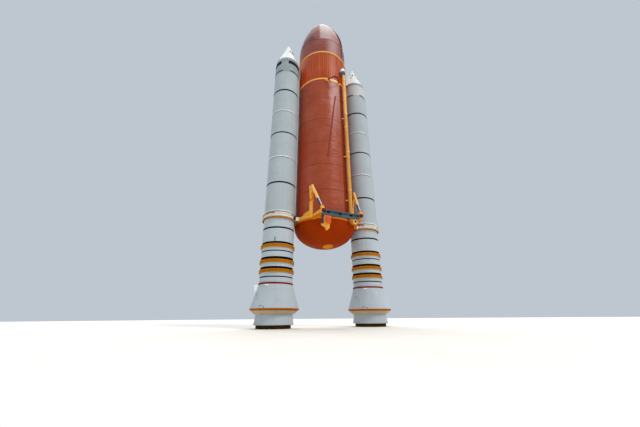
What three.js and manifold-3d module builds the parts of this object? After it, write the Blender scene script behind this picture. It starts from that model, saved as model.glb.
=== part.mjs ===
// A space rocket on display, at half its real size: a rust-coloured external tank
// between two solid rocket boosters, each standing on its own nozzle and plinth.
//
// +Z is up and the floor is Z = 0. The boosters lie to the left (-X) and right (+X) of
// the tank, and the side with the bipod, the feed line and the crossbeam faces -Y. Every
// size and place below is a real one, in metres on the full-size rocket, measured from
// the floor below the tank's axis, and M turns it into model millimetres. The whole rocket
// then moves back a little, so that the origin is the middle of its footprint's box.
// Azimuths are in degrees around an axis, from -Y towards +X.

import * as THREE from "three";
import { mergeVertices } from "three/addons/utils/BufferGeometryUtils.js";
import Module from "manifold-3d";

const wasm = await Module();
wasm.setup();

const MODEL_SCALE = 0.5;
const M = 1000 * MODEL_SCALE;
const GAP = 0.3 / M;

// Driving dimensions of the tank
const TANK_RADIUS = 4.20;
const TANK_BOTTOM = 9.90;
const AFT_FRAME = { bottom: 12.76, top: 12.92, proud: 0.06 };
const LOWER_FLANGE = 36.72;
const UPPER_FLANGE = 42.92;
const FLANGE = { half: 0.13, proud: 0.09, depth: 0.10 };
const OGIVE_START = 45.60;
const OGIVE_RADIUS = 15.54;
const NOSE_CAP_START = 55.20;
const TANK_SIDES = 60;

// Driving dimensions of a booster
const BOOSTER_OFFSET = 6.50;
const CASE_RADIUS = 1.97;
const PLINTH_TOP = 0.40;
const NOZZLE_TOP = 1.50;
const SKIRT_TOP = 4.78;
const CASE_BOTTOM = 4.92;
const FIELD_JOINTS = [13.76, 21.88, 30.01];
const CASE_TOP = 38.14;
const CONE_BASE = 40.65;
const BOOSTER_TIP = 46.52;
const BOOSTER_SIDES = 36;

// The ball fittings, on which the crossbeam and its struts meet
const BALL = { x: 2.60, y: -5.66, z: 13.01, radius: 0.25 };

const SIDES = [
  // name, which way along X
  ["left", -1], ["right", 1],
];

const paint = {
  rust: material(0x9a4430, 0.55, 0.0),
  orange: material(0xa8542c, 0.60, 0.0),
  yellow: material(0xd09a42, 0.50, 0.0),
  white: material(0xb4bcc0, 0.45, 0.0),
  maroon: material(0x5c1c22, 0.50, 0.0),
  slate: material(0x4a5a64, 0.50, 0.3),
  dark: material(0x26261f, 0.90, 0.0),
  red: material(0xd2562e, 0.50, 0.0),
};

function material(color, roughness, metalness) {
  return new THREE.MeshStandardMaterial({ color, roughness, metalness });
}

// A closed solid from any three.js geometry whose faces are all there
function toSolid(geometry) {
  const bare = geometry.clone();
  bare.deleteAttribute("normal");
  bare.deleteAttribute("uv");
  const merged = mergeVertices(bare);
  const vertProperties = merged.attributes.position.array.slice();
  const triVerts = [];
  const index = merged.index.array;
  for (let i = 0; i < index.length; i += 3) {
    const [a, b, c] = [index[i], index[i + 1], index[i + 2]];
    if (a !== b && b !== c && c !== a) triVerts.push(a, b, c);
  }
  if (signedVolume(vertProperties, triVerts) < 0) triVerts.reverse();
  return new wasm.Manifold(
    new wasm.Mesh({ numProp: 3, vertProperties, triVerts: Uint32Array.from(triVerts) }),
  );
}

function signedVolume(points, triangles) {
  const corner = (i) => new THREE.Vector3().fromArray(points, 3 * i);
  let sum = 0;
  for (let i = 0; i < triangles.length; i += 3) {
    const [a, b, c] = [0, 1, 2].map((k) => corner(triangles[i + k]));
    sum += a.dot(b.cross(c));
  }
  return sum;
}

function toMesh(name, solid, look) {
  const { vertProperties, triVerts } = solid.getMesh();
  const geometry = new THREE.BufferGeometry();
  geometry.setAttribute("position", new THREE.BufferAttribute(vertProperties, 3));
  geometry.setIndex(new THREE.BufferAttribute(triVerts, 1));
  const mesh = new THREE.Mesh(geometry, look);
  mesh.name = name;
  return mesh;
}

// Shapes, all given in real metres

function point(x, y, z) {
  return new THREE.Vector3(x, y, z).multiplyScalar(M);
}

// A solid of revolution about the Z axis through (x, y), from rows of [radius, height]
function turned(rows, sides, x = 0, y = 0) {
  const profile = rows.map(([r, z]) => new THREE.Vector2(r * M, z * M));
  const geometry = new THREE.LatheGeometry(profile, sides);
  geometry.rotateX(Math.PI / 2);
  geometry.translate(x * M, y * M, 0);
  return toSolid(geometry);
}

// The same, closed flat on the axis at its lowest and highest row
function solidOf(rows, sides, x = 0, y = 0) {
  return turned([[0, rows[0][1]], ...rows, [0, rows[rows.length - 1][1]]], sides, x, y);
}

// A plain drum between two heights
function drum(radius, bottom, top, sides, x = 0, y = 0) {
  return solidOf([[radius, bottom], [radius, top]], sides, x, y);
}

// A ring whose inside lies against a drum of the given radius
function ring(inner, rows, sides) {
  const [bottom, top] = [rows[0][1], rows[rows.length - 1][1]];
  return turned([[inner, bottom], ...rows, [inner, top], [inner, bottom]], sides);
}

function block(from, to) {
  const size = to.map((value, k) => (value - from[k]) * M);
  const centre = to.map((value, k) => (value + from[k]) * M / 2);
  const geometry = new THREE.BoxGeometry(...size);
  geometry.translate(...centre);
  return toSolid(geometry);
}

// A round bar from one point to another, its radius changing from end to end
function bar(from, to, radius, endRadius = radius, sides = 10) {
  const [a, b] = [point(...from), point(...to)];
  const axis = b.clone().sub(a);
  const geometry = new THREE.CylinderGeometry(endRadius * M, radius * M, axis.length(), sides);
  const turn = new THREE.Quaternion().setFromUnitVectors(
    new THREE.Vector3(0, 1, 0), axis.clone().normalize());
  geometry.applyQuaternion(turn);
  geometry.translate(...a.add(b).multiplyScalar(0.5).toArray());
  return toSolid(geometry);
}

// A solid pulled out along +Z from an outline of [x, y] corners
function slab(outline, bottom, top) {
  const shape = new THREE.Shape(outline.map(([x, y]) => new THREE.Vector2(x * M, y * M)));
  const geometry = new THREE.ExtrudeGeometry(shape, {
    depth: (top - bottom) * M, bevelEnabled: false, curveSegments: 1,
  });
  geometry.translate(0, 0, bottom * M);
  return toSolid(geometry);
}

// The same, pulled out from an outline of [x, z] corners along the Y axis
function plate(outline, back, front) {
  const flat = slab(outline, 0, back - front);
  return flat.rotate([90, 0, 0]).translate([0, back * M, 0]);
}

function ball(x, y, z, radius, sides = 10) {
  const geometry = new THREE.SphereGeometry(radius * M, sides, sides / 2);
  geometry.translate(...point(x, y, z).toArray());
  return toSolid(geometry);
}

// A point on a drum's wall, at an azimuth and a height
function onWall(azimuth, radius, z) {
  const angle = THREE.MathUtils.degToRad(azimuth);
  return [radius * Math.sin(angle), -radius * Math.cos(angle), z];
}

function joined(...solids) {
  return solids.reduce((whole, next) => whole.add(next));
}

// The front of the balls and the back of the flange rings are equally far from the origin
const BOX_FRONT = -BALL.y + BALL.radius;
const BOX_BACK = TANK_RADIUS + FLANGE.proud;

const rocket = new THREE.Group();
rocket.position.y = (BOX_FRONT - BOX_BACK) / 2 * M;

// External tank

const tank = new THREE.Group();
rocket.add(tank);

function ogiveRadius(z) {
  const climb = Math.max(0, z - OGIVE_START);
  return TANK_RADIUS - OGIVE_RADIUS + Math.sqrt(OGIVE_RADIUS ** 2 - climb ** 2);
}

// The oxygen tank's outline, grown by a margin all over
function ogiveRows(margin) {
  const steps = 8;
  const rows = [[TANK_RADIUS + margin, UPPER_FLANGE + FLANGE.half + GAP]];
  for (let i = 0; i <= steps; i += 1) {
    const z = OGIVE_START + (NOSE_CAP_START - OGIVE_START) * i / steps;
    rows.push([ogiveRadius(z) + margin, z]);
  }
  return rows;
}

const CAP_INSET = 0.03;
const CAP_ROWS = [
  // share of the base's radius, height above the base
  [1, GAP], [0.62, 0.42], [0.26, 0.72], [0.09, 0.82], [0.07, 1.04],
];
const CAP_SIDES = 20;

function addOxygenTank() {
  tank.add(toMesh("oxygen_tank", solidOf(ogiveRows(0), TANK_SIDES), paint.rust));
  const base = ogiveRadius(NOSE_CAP_START) - CAP_INSET;
  const rows = CAP_ROWS.map(([share, up]) => [share * base, NOSE_CAP_START + up]);
  tank.add(toMesh("nose_cap", solidOf(rows, CAP_SIDES), paint.rust));
}

const RIBS = { count: 84, foot: -0.02, top: 0.04 };
const RIB_CORNERS = [
  // place across one rib's share of the wall, which of the two depths
  [-0.30, RIBS.foot], [-0.20, RIBS.top], [0.20, RIBS.top], [0.30, RIBS.foot],
];
const FLANGE_SEAT = TANK_RADIUS - FLANGE.depth;

// Stringers run up the whole wall between the two flange rings
function addIntertank() {
  const outline = [];
  for (let i = 0; i < RIBS.count; i += 1) {
    for (const [across, depth] of RIB_CORNERS) {
      const [x, y] = onWall((i + across) * 360 / RIBS.count, TANK_RADIUS + depth, 0);
      outline.push([x, y]);
    }
  }
  const wall = slab(outline, LOWER_FLANGE + FLANGE.half, UPPER_FLANGE - FLANGE.half);
  const core = drum(
    FLANGE_SEAT, LOWER_FLANGE - FLANGE.half, UPPER_FLANGE + FLANGE.half, TANK_SIDES);
  tank.add(toMesh("intertank", joined(wall, core), paint.orange));
}

function addFlangeRings() {
  const flanges = [
    // name, height of the middle
    ["flange_ring_upper", UPPER_FLANGE],
    ["flange_ring_lower", LOWER_FLANGE],
  ];
  const half = FLANGE.half - GAP;
  const outer = TANK_RADIUS + FLANGE.proud;
  for (const [name, z] of flanges) {
    const solid = ring(FLANGE_SEAT + GAP, [[outer, z - half], [outer, z + half]], TANK_SIDES);
    tank.add(toMesh(name, solid, paint.yellow));
  }
}

// The dome's outline from its lowest point up to the aft frame, grown by a margin
function domeRows(margin) {
  const steps = 6;
  const top = AFT_FRAME.bottom - GAP;
  const rows = [];
  for (let i = 0; i <= steps; i += 1) {
    const angle = (Math.PI / 2) * i / steps;
    const depth = (top - TANK_BOTTOM) * Math.cos(angle);
    rows.push([(TANK_RADIUS + margin) * Math.sin(angle), top - depth - margin * Math.cos(angle)]);
  }
  return rows;
}

function domeSolid(margin) {
  const rows = domeRows(margin);
  return turned([...rows, [0, rows[rows.length - 1][1]]], TANK_SIDES);
}

// Round cover over the manhole, on the slope in front of the dome's lowest point
const COVER = { radius: 0.72, proud: 0.06, depth: 0.30, clear: 1, sides: 24 };
const COVER_AT = { x: 0.12, y: -0.84, z: 9.96, azimuth: 8, tilt: 8 };

// A drum on the cover's tilted axis, between two distances inside the dome's surface
function onCoverAxis(radius, from, to) {
  const { x, y, z, azimuth, tilt } = COVER_AT;
  return drum(radius, from, to, COVER.sides).rotate([-tilt, 0, azimuth])
    .translate([x * M, y * M, z * M]);
}

function addHydrogenTank() {
  const barrelTop = LOWER_FLANGE - FLANGE.half - GAP;
  const barrel = drum(TANK_RADIUS, AFT_FRAME.top, barrelTop, TANK_SIDES);
  tank.add(toMesh("hydrogen_tank", barrel, paint.rust));

  const frame = drum(
    TANK_RADIUS + AFT_FRAME.proud, AFT_FRAME.bottom, AFT_FRAME.top - GAP, TANK_SIDES);
  tank.add(toMesh("aft_frame", frame, paint.yellow));

  const { radius, proud, depth, clear } = COVER;
  const manhole = onCoverAxis(radius, -clear, depth);
  tank.add(toMesh("aft_dome", domeSolid(0).subtract(manhole), paint.rust));
  const cover = onCoverAxis(radius - GAP, -proud, depth - GAP);
  tank.add(toMesh("dome_cover", cover, paint.yellow));
}

addOxygenTank();
addIntertank();
addFlangeRings();
addHydrogenTank();

// Whatever sits on the tank's wall, or on the dome just below it, is cut to its curve
const SHOULDER = 0.30;
const wallCutter = joined(...[
  // how far the wall here stands outside the tank's radius, from, to
  [0, AFT_FRAME.bottom - SHOULDER, AFT_FRAME.bottom - GAP],
  [0, AFT_FRAME.top, LOWER_FLANGE - FLANGE.half - GAP],
  [AFT_FRAME.proud, AFT_FRAME.bottom - GAP, AFT_FRAME.top],
  [FLANGE.proud, LOWER_FLANGE - FLANGE.half - GAP, UPPER_FLANGE + FLANGE.half + GAP],
  [0, UPPER_FLANGE + FLANGE.half, OGIVE_START],
].map(([proud, from, to]) => drum(TANK_RADIUS + proud + GAP, from, to, TANK_SIDES)));

// How far inside the wall a bracket starts before it is cut to the wall's curve
const ROOT = 0.2;

// Feed line, from its fairing on the intertank down to the elbow beside the crossbeam

const FEED = { azimuth: 25.5, centre: 4.65, radius: 0.24, top: 38.65, bottom: 13.20, sides: 16 };
const [FEED_X, FEED_Y] = onWall(FEED.azimuth, FEED.centre, 0);
const FEED_BRACKETS = { heights: [17.2, 22.6, 27.9, 33.2], half: 0.10, proud: 0.05, foot: 0.10 };
const FAIRING_AZIMUTH = 23.4;
const FAIRING_ROWS = [
  // radius, height above the pipe's top
  [0.41, GAP], [0.43, 0.70], [0.34, 1.12], [0.14, 1.42],
];
const SADDLE = { up: 0.62, radius: 0.24 };
const ELBOW_ROUTE = [
  // steps from the pipe's lower end along X, Y and Z
  [0, 0, -GAP], [0, 0, -0.34], [0.05, -0.22, -0.66], [0.10, -0.75, -0.77],
];
const ELBOW = { radius: 0.28, flange: 0.36, behind: 0.05, front: 0.08, sides: 24 };

function addFeedLine() {
  const { azimuth, radius, top, bottom, sides } = FEED;
  const at = (z) => [FEED_X, FEED_Y, z];

  let pipe = bar(at(bottom), at(top), radius, radius, sides);
  for (const z of FEED_BRACKETS.heights) {
    const { half, proud, foot } = FEED_BRACKETS;
    const collar = bar(at(z - half), at(z + half), radius + proud);
    const leg = bar(onWall(azimuth, TANK_RADIUS - ROOT, z), at(z), foot);
    pipe = joined(pipe, collar, leg.subtract(wallCutter));
  }
  tank.add(toMesh("feed_line", pipe, paint.yellow));

  const saddleHeight = top + SADDLE.up;
  const middle = onWall(FAIRING_AZIMUTH, FEED.centre, saddleHeight);
  const fairing = solidOf(
    FAIRING_ROWS.map(([r, up]) => [r, top + up]), sides, middle[0], middle[1]);
  const saddle = bar(
    onWall(FAIRING_AZIMUTH, TANK_RADIUS - ROOT, saddleHeight), middle, SADDLE.radius);
  const cowl = joined(fairing, saddle).subtract(wallCutter);
  tank.add(toMesh("feed_line_fairing", cowl, paint.slate));

  const route = ELBOW_ROUTE.map(([x, y, z]) => [FEED_X + x, FEED_Y + y, bottom + z]);
  let elbow = bar(route[0], route[1], ELBOW.radius);
  for (let i = 1; i < route.length - 1; i += 1) {
    elbow = joined(elbow, ball(...route[i], ELBOW.radius),
      bar(route[i], route[i + 1], ELBOW.radius));
  }
  const [x, y, z] = route[route.length - 1];
  const flange = bar(
    [x, y + ELBOW.behind, z], [x, y - ELBOW.front, z], ELBOW.flange, ELBOW.flange, ELBOW.sides);
  tank.add(toMesh("feed_line_elbow", joined(elbow, flange), paint.yellow));
}

const CABLE_TRAY = { azimuth: 32, bottom: 13.30, top: 41.9, half: 0.09, proud: 0.10 };

function addCableTray() {
  const { azimuth, bottom, top, half, proud } = CABLE_TRAY;
  const tray = block([-half, -TANK_RADIUS - proud, bottom], [half, ROOT - TANK_RADIUS, top])
    .rotate([0, 0, azimuth]).subtract(wallCutter);
  tank.add(toMesh("cable_tray", tray, paint.rust));
}

// Gas line that climbs the right of the ogive on short legs
const PRESSURE_LINE = {
  azimuth: 34, radius: 0.10, stand: 0.02, leg: 0.07, sides: 6,
  heights: [43.30, 45.60, 48.00, 50.20, 52.10, 53.70],
};

function addPressureLine() {
  const { azimuth, radius, stand, leg, sides, heights } = PRESSURE_LINE;
  const route = heights.map((z) => onWall(azimuth, ogiveRadius(z) + stand + radius, z));
  const legs = heights.map((z, i) =>
    bar(onWall(azimuth, ogiveRadius(z) - ROOT, z), route[i], leg, leg, sides));
  const runs = route.slice(1).map((end, i) => bar(route[i], end, radius, radius, sides));
  const bends = route.slice(1, -1).map((place) => ball(...place, radius, sides));
  const line = joined(...runs, ...bends, ...legs);
  const cut = line.subtract(solidOf(ogiveRows(2 * GAP), TANK_SIDES));
  tank.add(toMesh("pressure_line", cut, paint.slate));
}

addFeedLine();
addCableTray();
addPressureLine();

// Forward bipod: two legs from feet on the lower flange to a yoke in front

const BIPOD = {
  azimuth: 11.8, height: 36.28, leg: 0.085, heel: 0.13, heelOut: 0.36,
  yokeX: 0.27, yokeY: -5.30, yoke: 0.11, yokeEnd: 0.08, knuckle: 0.14,
};
const BIPOD_FOOT = {
  radius: 0.16, tip: 0.12, out: 0.30, half: 0.27, shift: 0.24, front: 0.36, back: 0.30,
  low: 0.02, high: 0.26,
};

function addBipod() {
  const { azimuth, height, leg, heel, heelOut, yokeX, yokeY, yoke, yokeEnd, knuckle } = BIPOD;
  const reach = yokeX + yokeEnd;
  let frame = bar([-reach, yokeY, height], [reach, yokeY, height], yoke);
  for (const [name, side] of SIDES) {
    const heelPoint = onWall(side * azimuth, TANK_RADIUS + heelOut, height);
    frame = joined(frame, bar(heelPoint, [side * yokeX, yokeY, height], leg),
      ball(...heelPoint, heel), ball(side * yokeX, yokeY, height, knuckle));

    const { radius, tip, out, half, shift, front, back, low, high } = BIPOD_FOOT;
    const root = onWall(side * azimuth, TANK_RADIUS - ROOT, height);
    const end = onWall(side * azimuth, TANK_RADIUS + out, height);
    const middle = root[0] + side * shift;
    const base = block([middle - half, root[1] - front, height + low],
      [middle + half, root[1] + back, height + high]);
    const socket = ball(...heelPoint, heel + GAP);
    const foot = joined(bar(root, end, radius, tip), base).subtract(wallCutter).subtract(socket);
    tank.add(toMesh(`bipod_foot_${name}`, foot, paint.yellow));
  }
  tank.add(toMesh("bipod", frame, paint.maroon));
}

// Aft attachment: longerons, struts, balls and the crossbeam between them

const LONGERON = {
  azimuth: 46.2, bottom: 12.72, top: 17.36, halfWidth: 0.235, depth: 0.36, inwards: 1.2,
};
// Its parts: a wedge that is deepest at the top, a thin plate with a flare, a deep foot
const WEDGE = { bottom: 15.20, shoulder: 16.95 };
const PLATE = { depth: 0.12, shift: 0.09, flareOut: 1.24, flareHigh: 13.95, flareLow: 13.66 };
const FOOT_TOP = 13.30;
const THRUST_HEAD = { turn: 2.7, drop: 0.08, radius: 0.24 };
const THRUST_PARTS = [
  // shares of the way from the head to the ball where a tube starts and ends, its radius
  [0, 0.54, 0.19], [0.53, 0.86, 0.15], [0.85, 1, 0.23],
];
// A deep box arm from the wall to just short of the ball's centre
const OUTRIGGER = { azimuth: 47, half: 0.15, low: 12.66, high: 13.32, short: 0.14 };
const FITTING = { from: 56, to: 70.5, low: 12.72, high: 13.25, depth: 0.36, steps: 4 };

function ballCentre(side) {
  return [side * BALL.x, BALL.y, BALL.z];
}

function thrustStrut(side, margin) {
  const { turn, drop, radius } = THRUST_HEAD;
  const head = onWall(
    side * (LONGERON.azimuth - turn), TANK_RADIUS + LONGERON.depth, LONGERON.top - drop);
  const centre = ballCentre(side);
  const along = (share) => head.map((value, k) => value + (centre[k] - value) * share);
  const tubes = THRUST_PARTS.map(([from, to, tubeRadius]) =>
    bar(along(from), along(to), tubeRadius + margin));
  return joined(ball(...head, radius + margin), ...tubes);
}

function outrigger(side, margin) {
  const { azimuth, half, low, high, short } = OUTRIGGER;
  const [rootX, rootY] = onWall(side * azimuth, TANK_RADIUS - ROOT, 0);
  const root = new THREE.Vector2(rootX, rootY);
  const along = new THREE.Vector2(side * BALL.x, BALL.y).sub(root);
  const end = root.clone().addScaledVector(along, 1 - short / along.length());
  const across = new THREE.Vector2(-along.y, along.x).setLength(half + margin);
  const outline = [
    root.clone().add(across), end.clone().add(across), end.clone().sub(across),
    root.clone().sub(across),
  ];
  return slab(outline.map(({ x, y }) => [x, y]), low - margin, high + margin);
}

// A block bent around the wall at the aft frame, where the booster struts are pinned
function aftFitting(side, margin) {
  const { from, to, low, high, depth, steps } = FITTING;
  const spread = THREE.MathUtils.radToDeg(2 * margin / TANK_RADIUS);
  const share = (to - from + 2 * spread) / steps;
  const turns = Array.from({ length: steps + 1 }, (_, i) => from - spread + share * i);
  const arc = (radius) => turns.map((turn) => onWall(side * turn, radius, 0).slice(0, 2));
  const outside = arc(TANK_RADIUS + depth + margin);
  const inside = arc(TANK_RADIUS - ROOT).reverse();
  return slab([...outside, ...inside], low - margin, high + margin);
}

// A solid against the wall, cut to a depth, from an outline of [outwards, z] corners
function onFace(side, outline, depth) {
  const face = TANK_RADIUS + depth;
  const corners = outline.map(([outwards, z]) => [side * outwards, z]);
  return plate(corners, LONGERON.inwards - TANK_RADIUS, -face)
    .intersect(drum(face, LONGERON.bottom, LONGERON.top, TANK_SIDES));
}

function addLongeron(name, side) {
  const { azimuth, bottom, top, halfWidth, depth, inwards } = LONGERON;
  // the wedge's outline runs from the wall outwards and up, and is pulled out sideways
  const inside = inwards - TANK_RADIUS;
  const wedge = plate([
    [inside, WEDGE.bottom], [-TANK_RADIUS - PLATE.depth, WEDGE.bottom],
    [-TANK_RADIUS - depth, WEDGE.shoulder], [-TANK_RADIUS - depth, top], [inside, top],
  ], halfWidth, -halfWidth).rotate([0, 0, 90]);

  const [left, right] = [PLATE.shift - halfWidth, PLATE.shift + halfWidth];
  const upright = onFace(side, [
    [left, bottom], [PLATE.flareOut, bottom], [PLATE.flareOut, PLATE.flareLow],
    [right, PLATE.flareHigh], [right, WEDGE.bottom], [left, WEDGE.bottom],
  ], PLATE.depth);
  const foot = onFace(side, [
    [-halfWidth, bottom], [PLATE.flareOut, bottom], [PLATE.flareOut, FOOT_TOP],
    [-halfWidth, FOOT_TOP],
  ], depth);
  const longeron = joined(wedge, upright, foot).rotate([0, 0, side * azimuth])
    .add(aftFitting(side, 0)).subtract(wallCutter).subtract(thrustStrut(side, GAP))
    .subtract(outrigger(side, GAP));
  tank.add(toMesh(`longeron_${name}`, longeron, paint.yellow));
}

function addAftStruts(name, side) {
  const socket = ball(...ballCentre(side), BALL.radius + GAP);
  const thrust = thrustStrut(side, 0).subtract(socket).subtract(wallCutter);
  tank.add(toMesh(`thrust_strut_${name}`, thrust, paint.yellow));
  const arm = outrigger(side, 0).subtract(socket).subtract(wallCutter)
    .subtract(thrustStrut(side, GAP));
  tank.add(toMesh(`outrigger_${name}`, arm, paint.yellow));
  tank.add(toMesh(`ball_fitting_${name}`, ball(...ballCentre(side), BALL.radius), paint.maroon));
}

addBipod();
for (const [name, side] of SIDES) {
  addLongeron(name, side);
  addAftStruts(name, side);
}

// Crossbeam between the balls, with the hanger that hangs from it. Its section is an I
// with upright stiffeners, and all but its length is measured from the balls' centres.

const BEAM = {
  left: -BALL.x + 0.18, right: BALL.x - 0.46, half: 0.24, low: BALL.z - 0.52,
  high: BALL.z + 0.04, flange: 0.10, web: 0.05, pin: 0.10,
};
const BEAM_STIFFENERS = { count: 7, half: 0.05, inset: 0.05 };
const HANGER = { from: [-2.73, -5.60, 12.53], to: [-2.38, -4.87, 11.64], radius: 0.11 };
const HANGER_SEAT = { left: -2.88, right: -2.10, half: 0.15, low: 12.49, high: 12.62 };
const UMBILICAL = { back: -4.50, front: -4.78, cover: 0.12 };

function addCrossbeam() {
  const { left, right, half, low, high, flange, web, pin } = BEAM;
  const [front, back] = [BALL.y - half, BALL.y + half];
  let beam = joined(
    block([left, front, high - flange], [right, back, high]),
    block([left, front, low], [right, back, low + flange]),
    block([left, BALL.y - web, low], [right, BALL.y + web, high]),
    bar([right - half, BALL.y, high - half], ballCentre(1), pin),
    bar(HANGER.from, HANGER.to, HANGER.radius),
    block([HANGER_SEAT.left, BALL.y - HANGER_SEAT.half, HANGER_SEAT.low],
      [HANGER_SEAT.right, BALL.y + HANGER_SEAT.half, HANGER_SEAT.high]));

  const { count, half: thin, inset } = BEAM_STIFFENERS;
  const bay = (right - left - 2 * inset) / (count - 1);
  for (let i = 0; i < count; i += 1) {
    const x = left + inset + bay * i;
    beam = joined(beam, block([x - thin, front + inset, low], [x + thin, back - inset, high]));
  }
  for (const [, side] of SIDES) {
    const socket = ball(...ballCentre(side), BALL.radius + GAP);
    beam = beam.subtract(socket).subtract(thrustStrut(side, GAP)).subtract(outrigger(side, GAP));
  }
  tank.add(toMesh("crossbeam", beam, paint.slate));
}

const BRACKET_OUTLINE = [
  // x and z, round the bracket that holds the octagonal cover, seen from the front
  [-2.00, 12.85], [-2.13, 12.36], [-2.13, 11.90], [-2.47, 11.71], [-2.47, 11.52],
  [-1.92, 11.23], [-1.92, 11.02], [-1.73, 10.88], [-1.53, 11.07], [-1.40, 11.30],
  [-1.40, 12.85],
];
const BRACKET_ROOT = { left: -1.98, right: -1.46, low: 12.50, high: 12.85, inside: -3.9 };
const OCTAGON = { x: -1.61, z: 12.245, half: 0.35, tall: 0.60, corner: 0.20 };

// The left umbilical's bracket, rooted on the dome's shoulder, and its cover plate
function addUmbilical() {
  const { back, front, cover: thick } = UMBILICAL;
  const { left, right, low, high, inside } = BRACKET_ROOT;
  const root = block([left, back, low], [right, inside, high])
    .subtract(domeSolid(GAP)).subtract(wallCutter);
  const bracket = joined(plate(BRACKET_OUTLINE, back, front), root);
  tank.add(toMesh("umbilical_bracket", bracket, paint.yellow));

  const { x, z, half, tall, corner } = OCTAGON;
  const octagon = [
    [x - half, z - tall + corner], [x - half + corner, z - tall], [x + half - corner, z - tall],
    [x + half, z - tall + corner], [x + half, z + tall - corner], [x + half - corner, z + tall],
    [x - half + corner, z + tall], [x - half, z + tall - corner],
  ];
  const cover = plate(octagon, front - GAP, front - thick);
  tank.add(toMesh("umbilical_cover", cover, paint.red));
}

addCrossbeam();
addUmbilical();

// Boosters, each built about its own axis

const STIFFENERS = [
  // bottom and top of each ring
  [5.98, 6.44], [7.10, 7.58], [8.95, 9.44],
];
const STIFFENER_RADIUS = 2.12;
const ATTACH_RING = { bottom: 12.74, top: 13.46, web: 2.09, flange: 2.19, thickness: 0.12 };
const RING_SEAT = CASE_RADIUS + GAP;

// An eight-sided block, set in from the nozzle's foot, with a corner at each end of X and Y
const PLINTH = { reach: 2.05, sides: 8 };
const NOZZLE_ROWS = [
  // radius, height
  [2.30, PLINTH_TOP], [2.30, 0.50], [2.25, 0.54], [2.10, NOZZLE_TOP - GAP],
];
const SKIRT_FOOT = { radius: 2.83, height: 2.12 };
const SKIRT_NECK = 2.02;
const KICK_RADIUS = 2.07;
const SKIRT_ROWS = [
  // radius, height: the flared underside, the band, the cone and the kick ring
  [2.26, NOZZLE_TOP], [2.40, 1.62], [2.66, 1.86], [2.87, 2.04],
  [SKIRT_FOOT.radius, SKIRT_FOOT.height], [SKIRT_NECK, SKIRT_TOP],
  [KICK_RADIUS, SKIRT_TOP], [KICK_RADIUS, CASE_BOTTOM - GAP],
];
const CONE_ROWS = [
  // radius, height
  [1.93, CONE_BASE], [1.93, 41.23], [0.72, 44.60], [0.36, 45.80], [0.13, 46.40],
  [0, BOOSTER_TIP],
];

function attachRing() {
  const { bottom, top, web, flange, thickness } = ATTACH_RING;
  return ring(RING_SEAT, [
    [flange, bottom], [flange, bottom + thickness], [web, bottom + thickness],
    [web, top - thickness], [flange, top - thickness], [flange, top],
  ], BOOSTER_SIDES);
}

function boosterPieces() {
  const plain = (rows) => solidOf(rows, BOOSTER_SIDES);
  const pieces = [
    ["plinth", drum(PLINTH.reach, 0, PLINTH_TOP - GAP, PLINTH.sides), paint.dark],
    ["nozzle", plain(NOZZLE_ROWS), paint.white],
    ["aft_skirt", plain(SKIRT_ROWS), paint.white],
    ["forward_skirt", drum(CASE_RADIUS, CASE_TOP, CONE_BASE - GAP, BOOSTER_SIDES), paint.white],
    ["nose_cone", plain(CONE_ROWS), paint.white],
    ["attach_ring", attachRing(), paint.white],
  ];
  const stiffenerRows = STIFFENERS.flatMap(([bottom, top]) => [
    [CASE_RADIUS, bottom], [STIFFENER_RADIUS, bottom], [STIFFENER_RADIUS, top],
    [CASE_RADIUS, top],
  ]);
  const joints = [CASE_BOTTOM, ...FIELD_JOINTS, CASE_TOP];
  const segments = [
    // name, and the rows of its rings
    ["aft", stiffenerRows], ["aft_centre", []], ["forward_centre", []], ["forward", []],
  ];
  segments.forEach(([name, rings], i) => {
    const rows = [[CASE_RADIUS, joints[i]], ...rings, [CASE_RADIUS, joints[i + 1] - GAP]];
    pieces.push([`segment_${name}`, plain(rows), paint.white]);
  });
  return pieces;
}

// The cable tunnel is at the same azimuth on both boosters
const TUNNEL = { azimuth: 70, bottom: 13.60, top: 38.90, half: 0.13, proud: 0.14 };

// One fairing over the separation motors, on the outer side of the skirt
const MOTORS = { azimuth: 100, low: 4.02, high: 4.74, inner: 1.77, outer: 2.49, half: 0.62 };
const MOTORS_CORNER = { across: 0.12, down: 0.10 };

// Fairings on the wall: outward is -1 on the left booster and 1 on the right
function wallPieces(outward) {
  const { azimuth, bottom, top, half, proud } = TUNNEL;
  const tunnel = block([-half, -CASE_RADIUS - proud, bottom], [half, ROOT - CASE_RADIUS, top])
    .rotate([0, 0, azimuth])
    .subtract(drum(RING_SEAT, 0, CONE_BASE, BOOSTER_SIDES));

  const { low, high, inner, outer, half: wide } = MOTORS;
  const { across, down } = MOTORS_CORNER;
  const fairing = plate([
    [-wide, low], [wide, low], [wide, high - down], [wide - across, high],
    [-wide + across, high], [-wide, high - down],
  ], -inner, -outer).rotate([0, 0, outward * MOTORS.azimuth]);
  const skirtCutter = solidOf([
    [SKIRT_FOOT.radius + 2 * GAP, SKIRT_FOOT.height], [SKIRT_NECK + 2 * GAP, SKIRT_TOP],
  ], BOOSTER_SIDES);
  return [
    ["systems_tunnel", tunnel, paint.white],
    ["separation_motors", fairing.subtract(skirtCutter), paint.white],
  ];
}

for (const [name, side] of SIDES) {
  const booster = new THREE.Group();
  booster.position.x = side * BOOSTER_OFFSET * M;
  rocket.add(booster);
  for (const [piece, solid, look] of [...boosterPieces(), ...wallPieces(side)]) {
    booster.add(toMesh(`${name}_${piece}`, solid, look));
  }
}

// Struts and fittings that tie the boosters to the tank

const AFT_STRUTS = [
  // name, Y at the tank and at the booster
  ["front", -1.45, -1.05],
  ["rear", 1.45, 1.05],
];
const AFT_STRUT = { height: 13.12, radius: 0.27, tankInside: 0.3, boosterInside: 1.6 };
const FORWARD_FITTING = { inner: 4.0, outer: 4.85, half: 0.35, low: 39.15, high: 40.80 };

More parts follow.
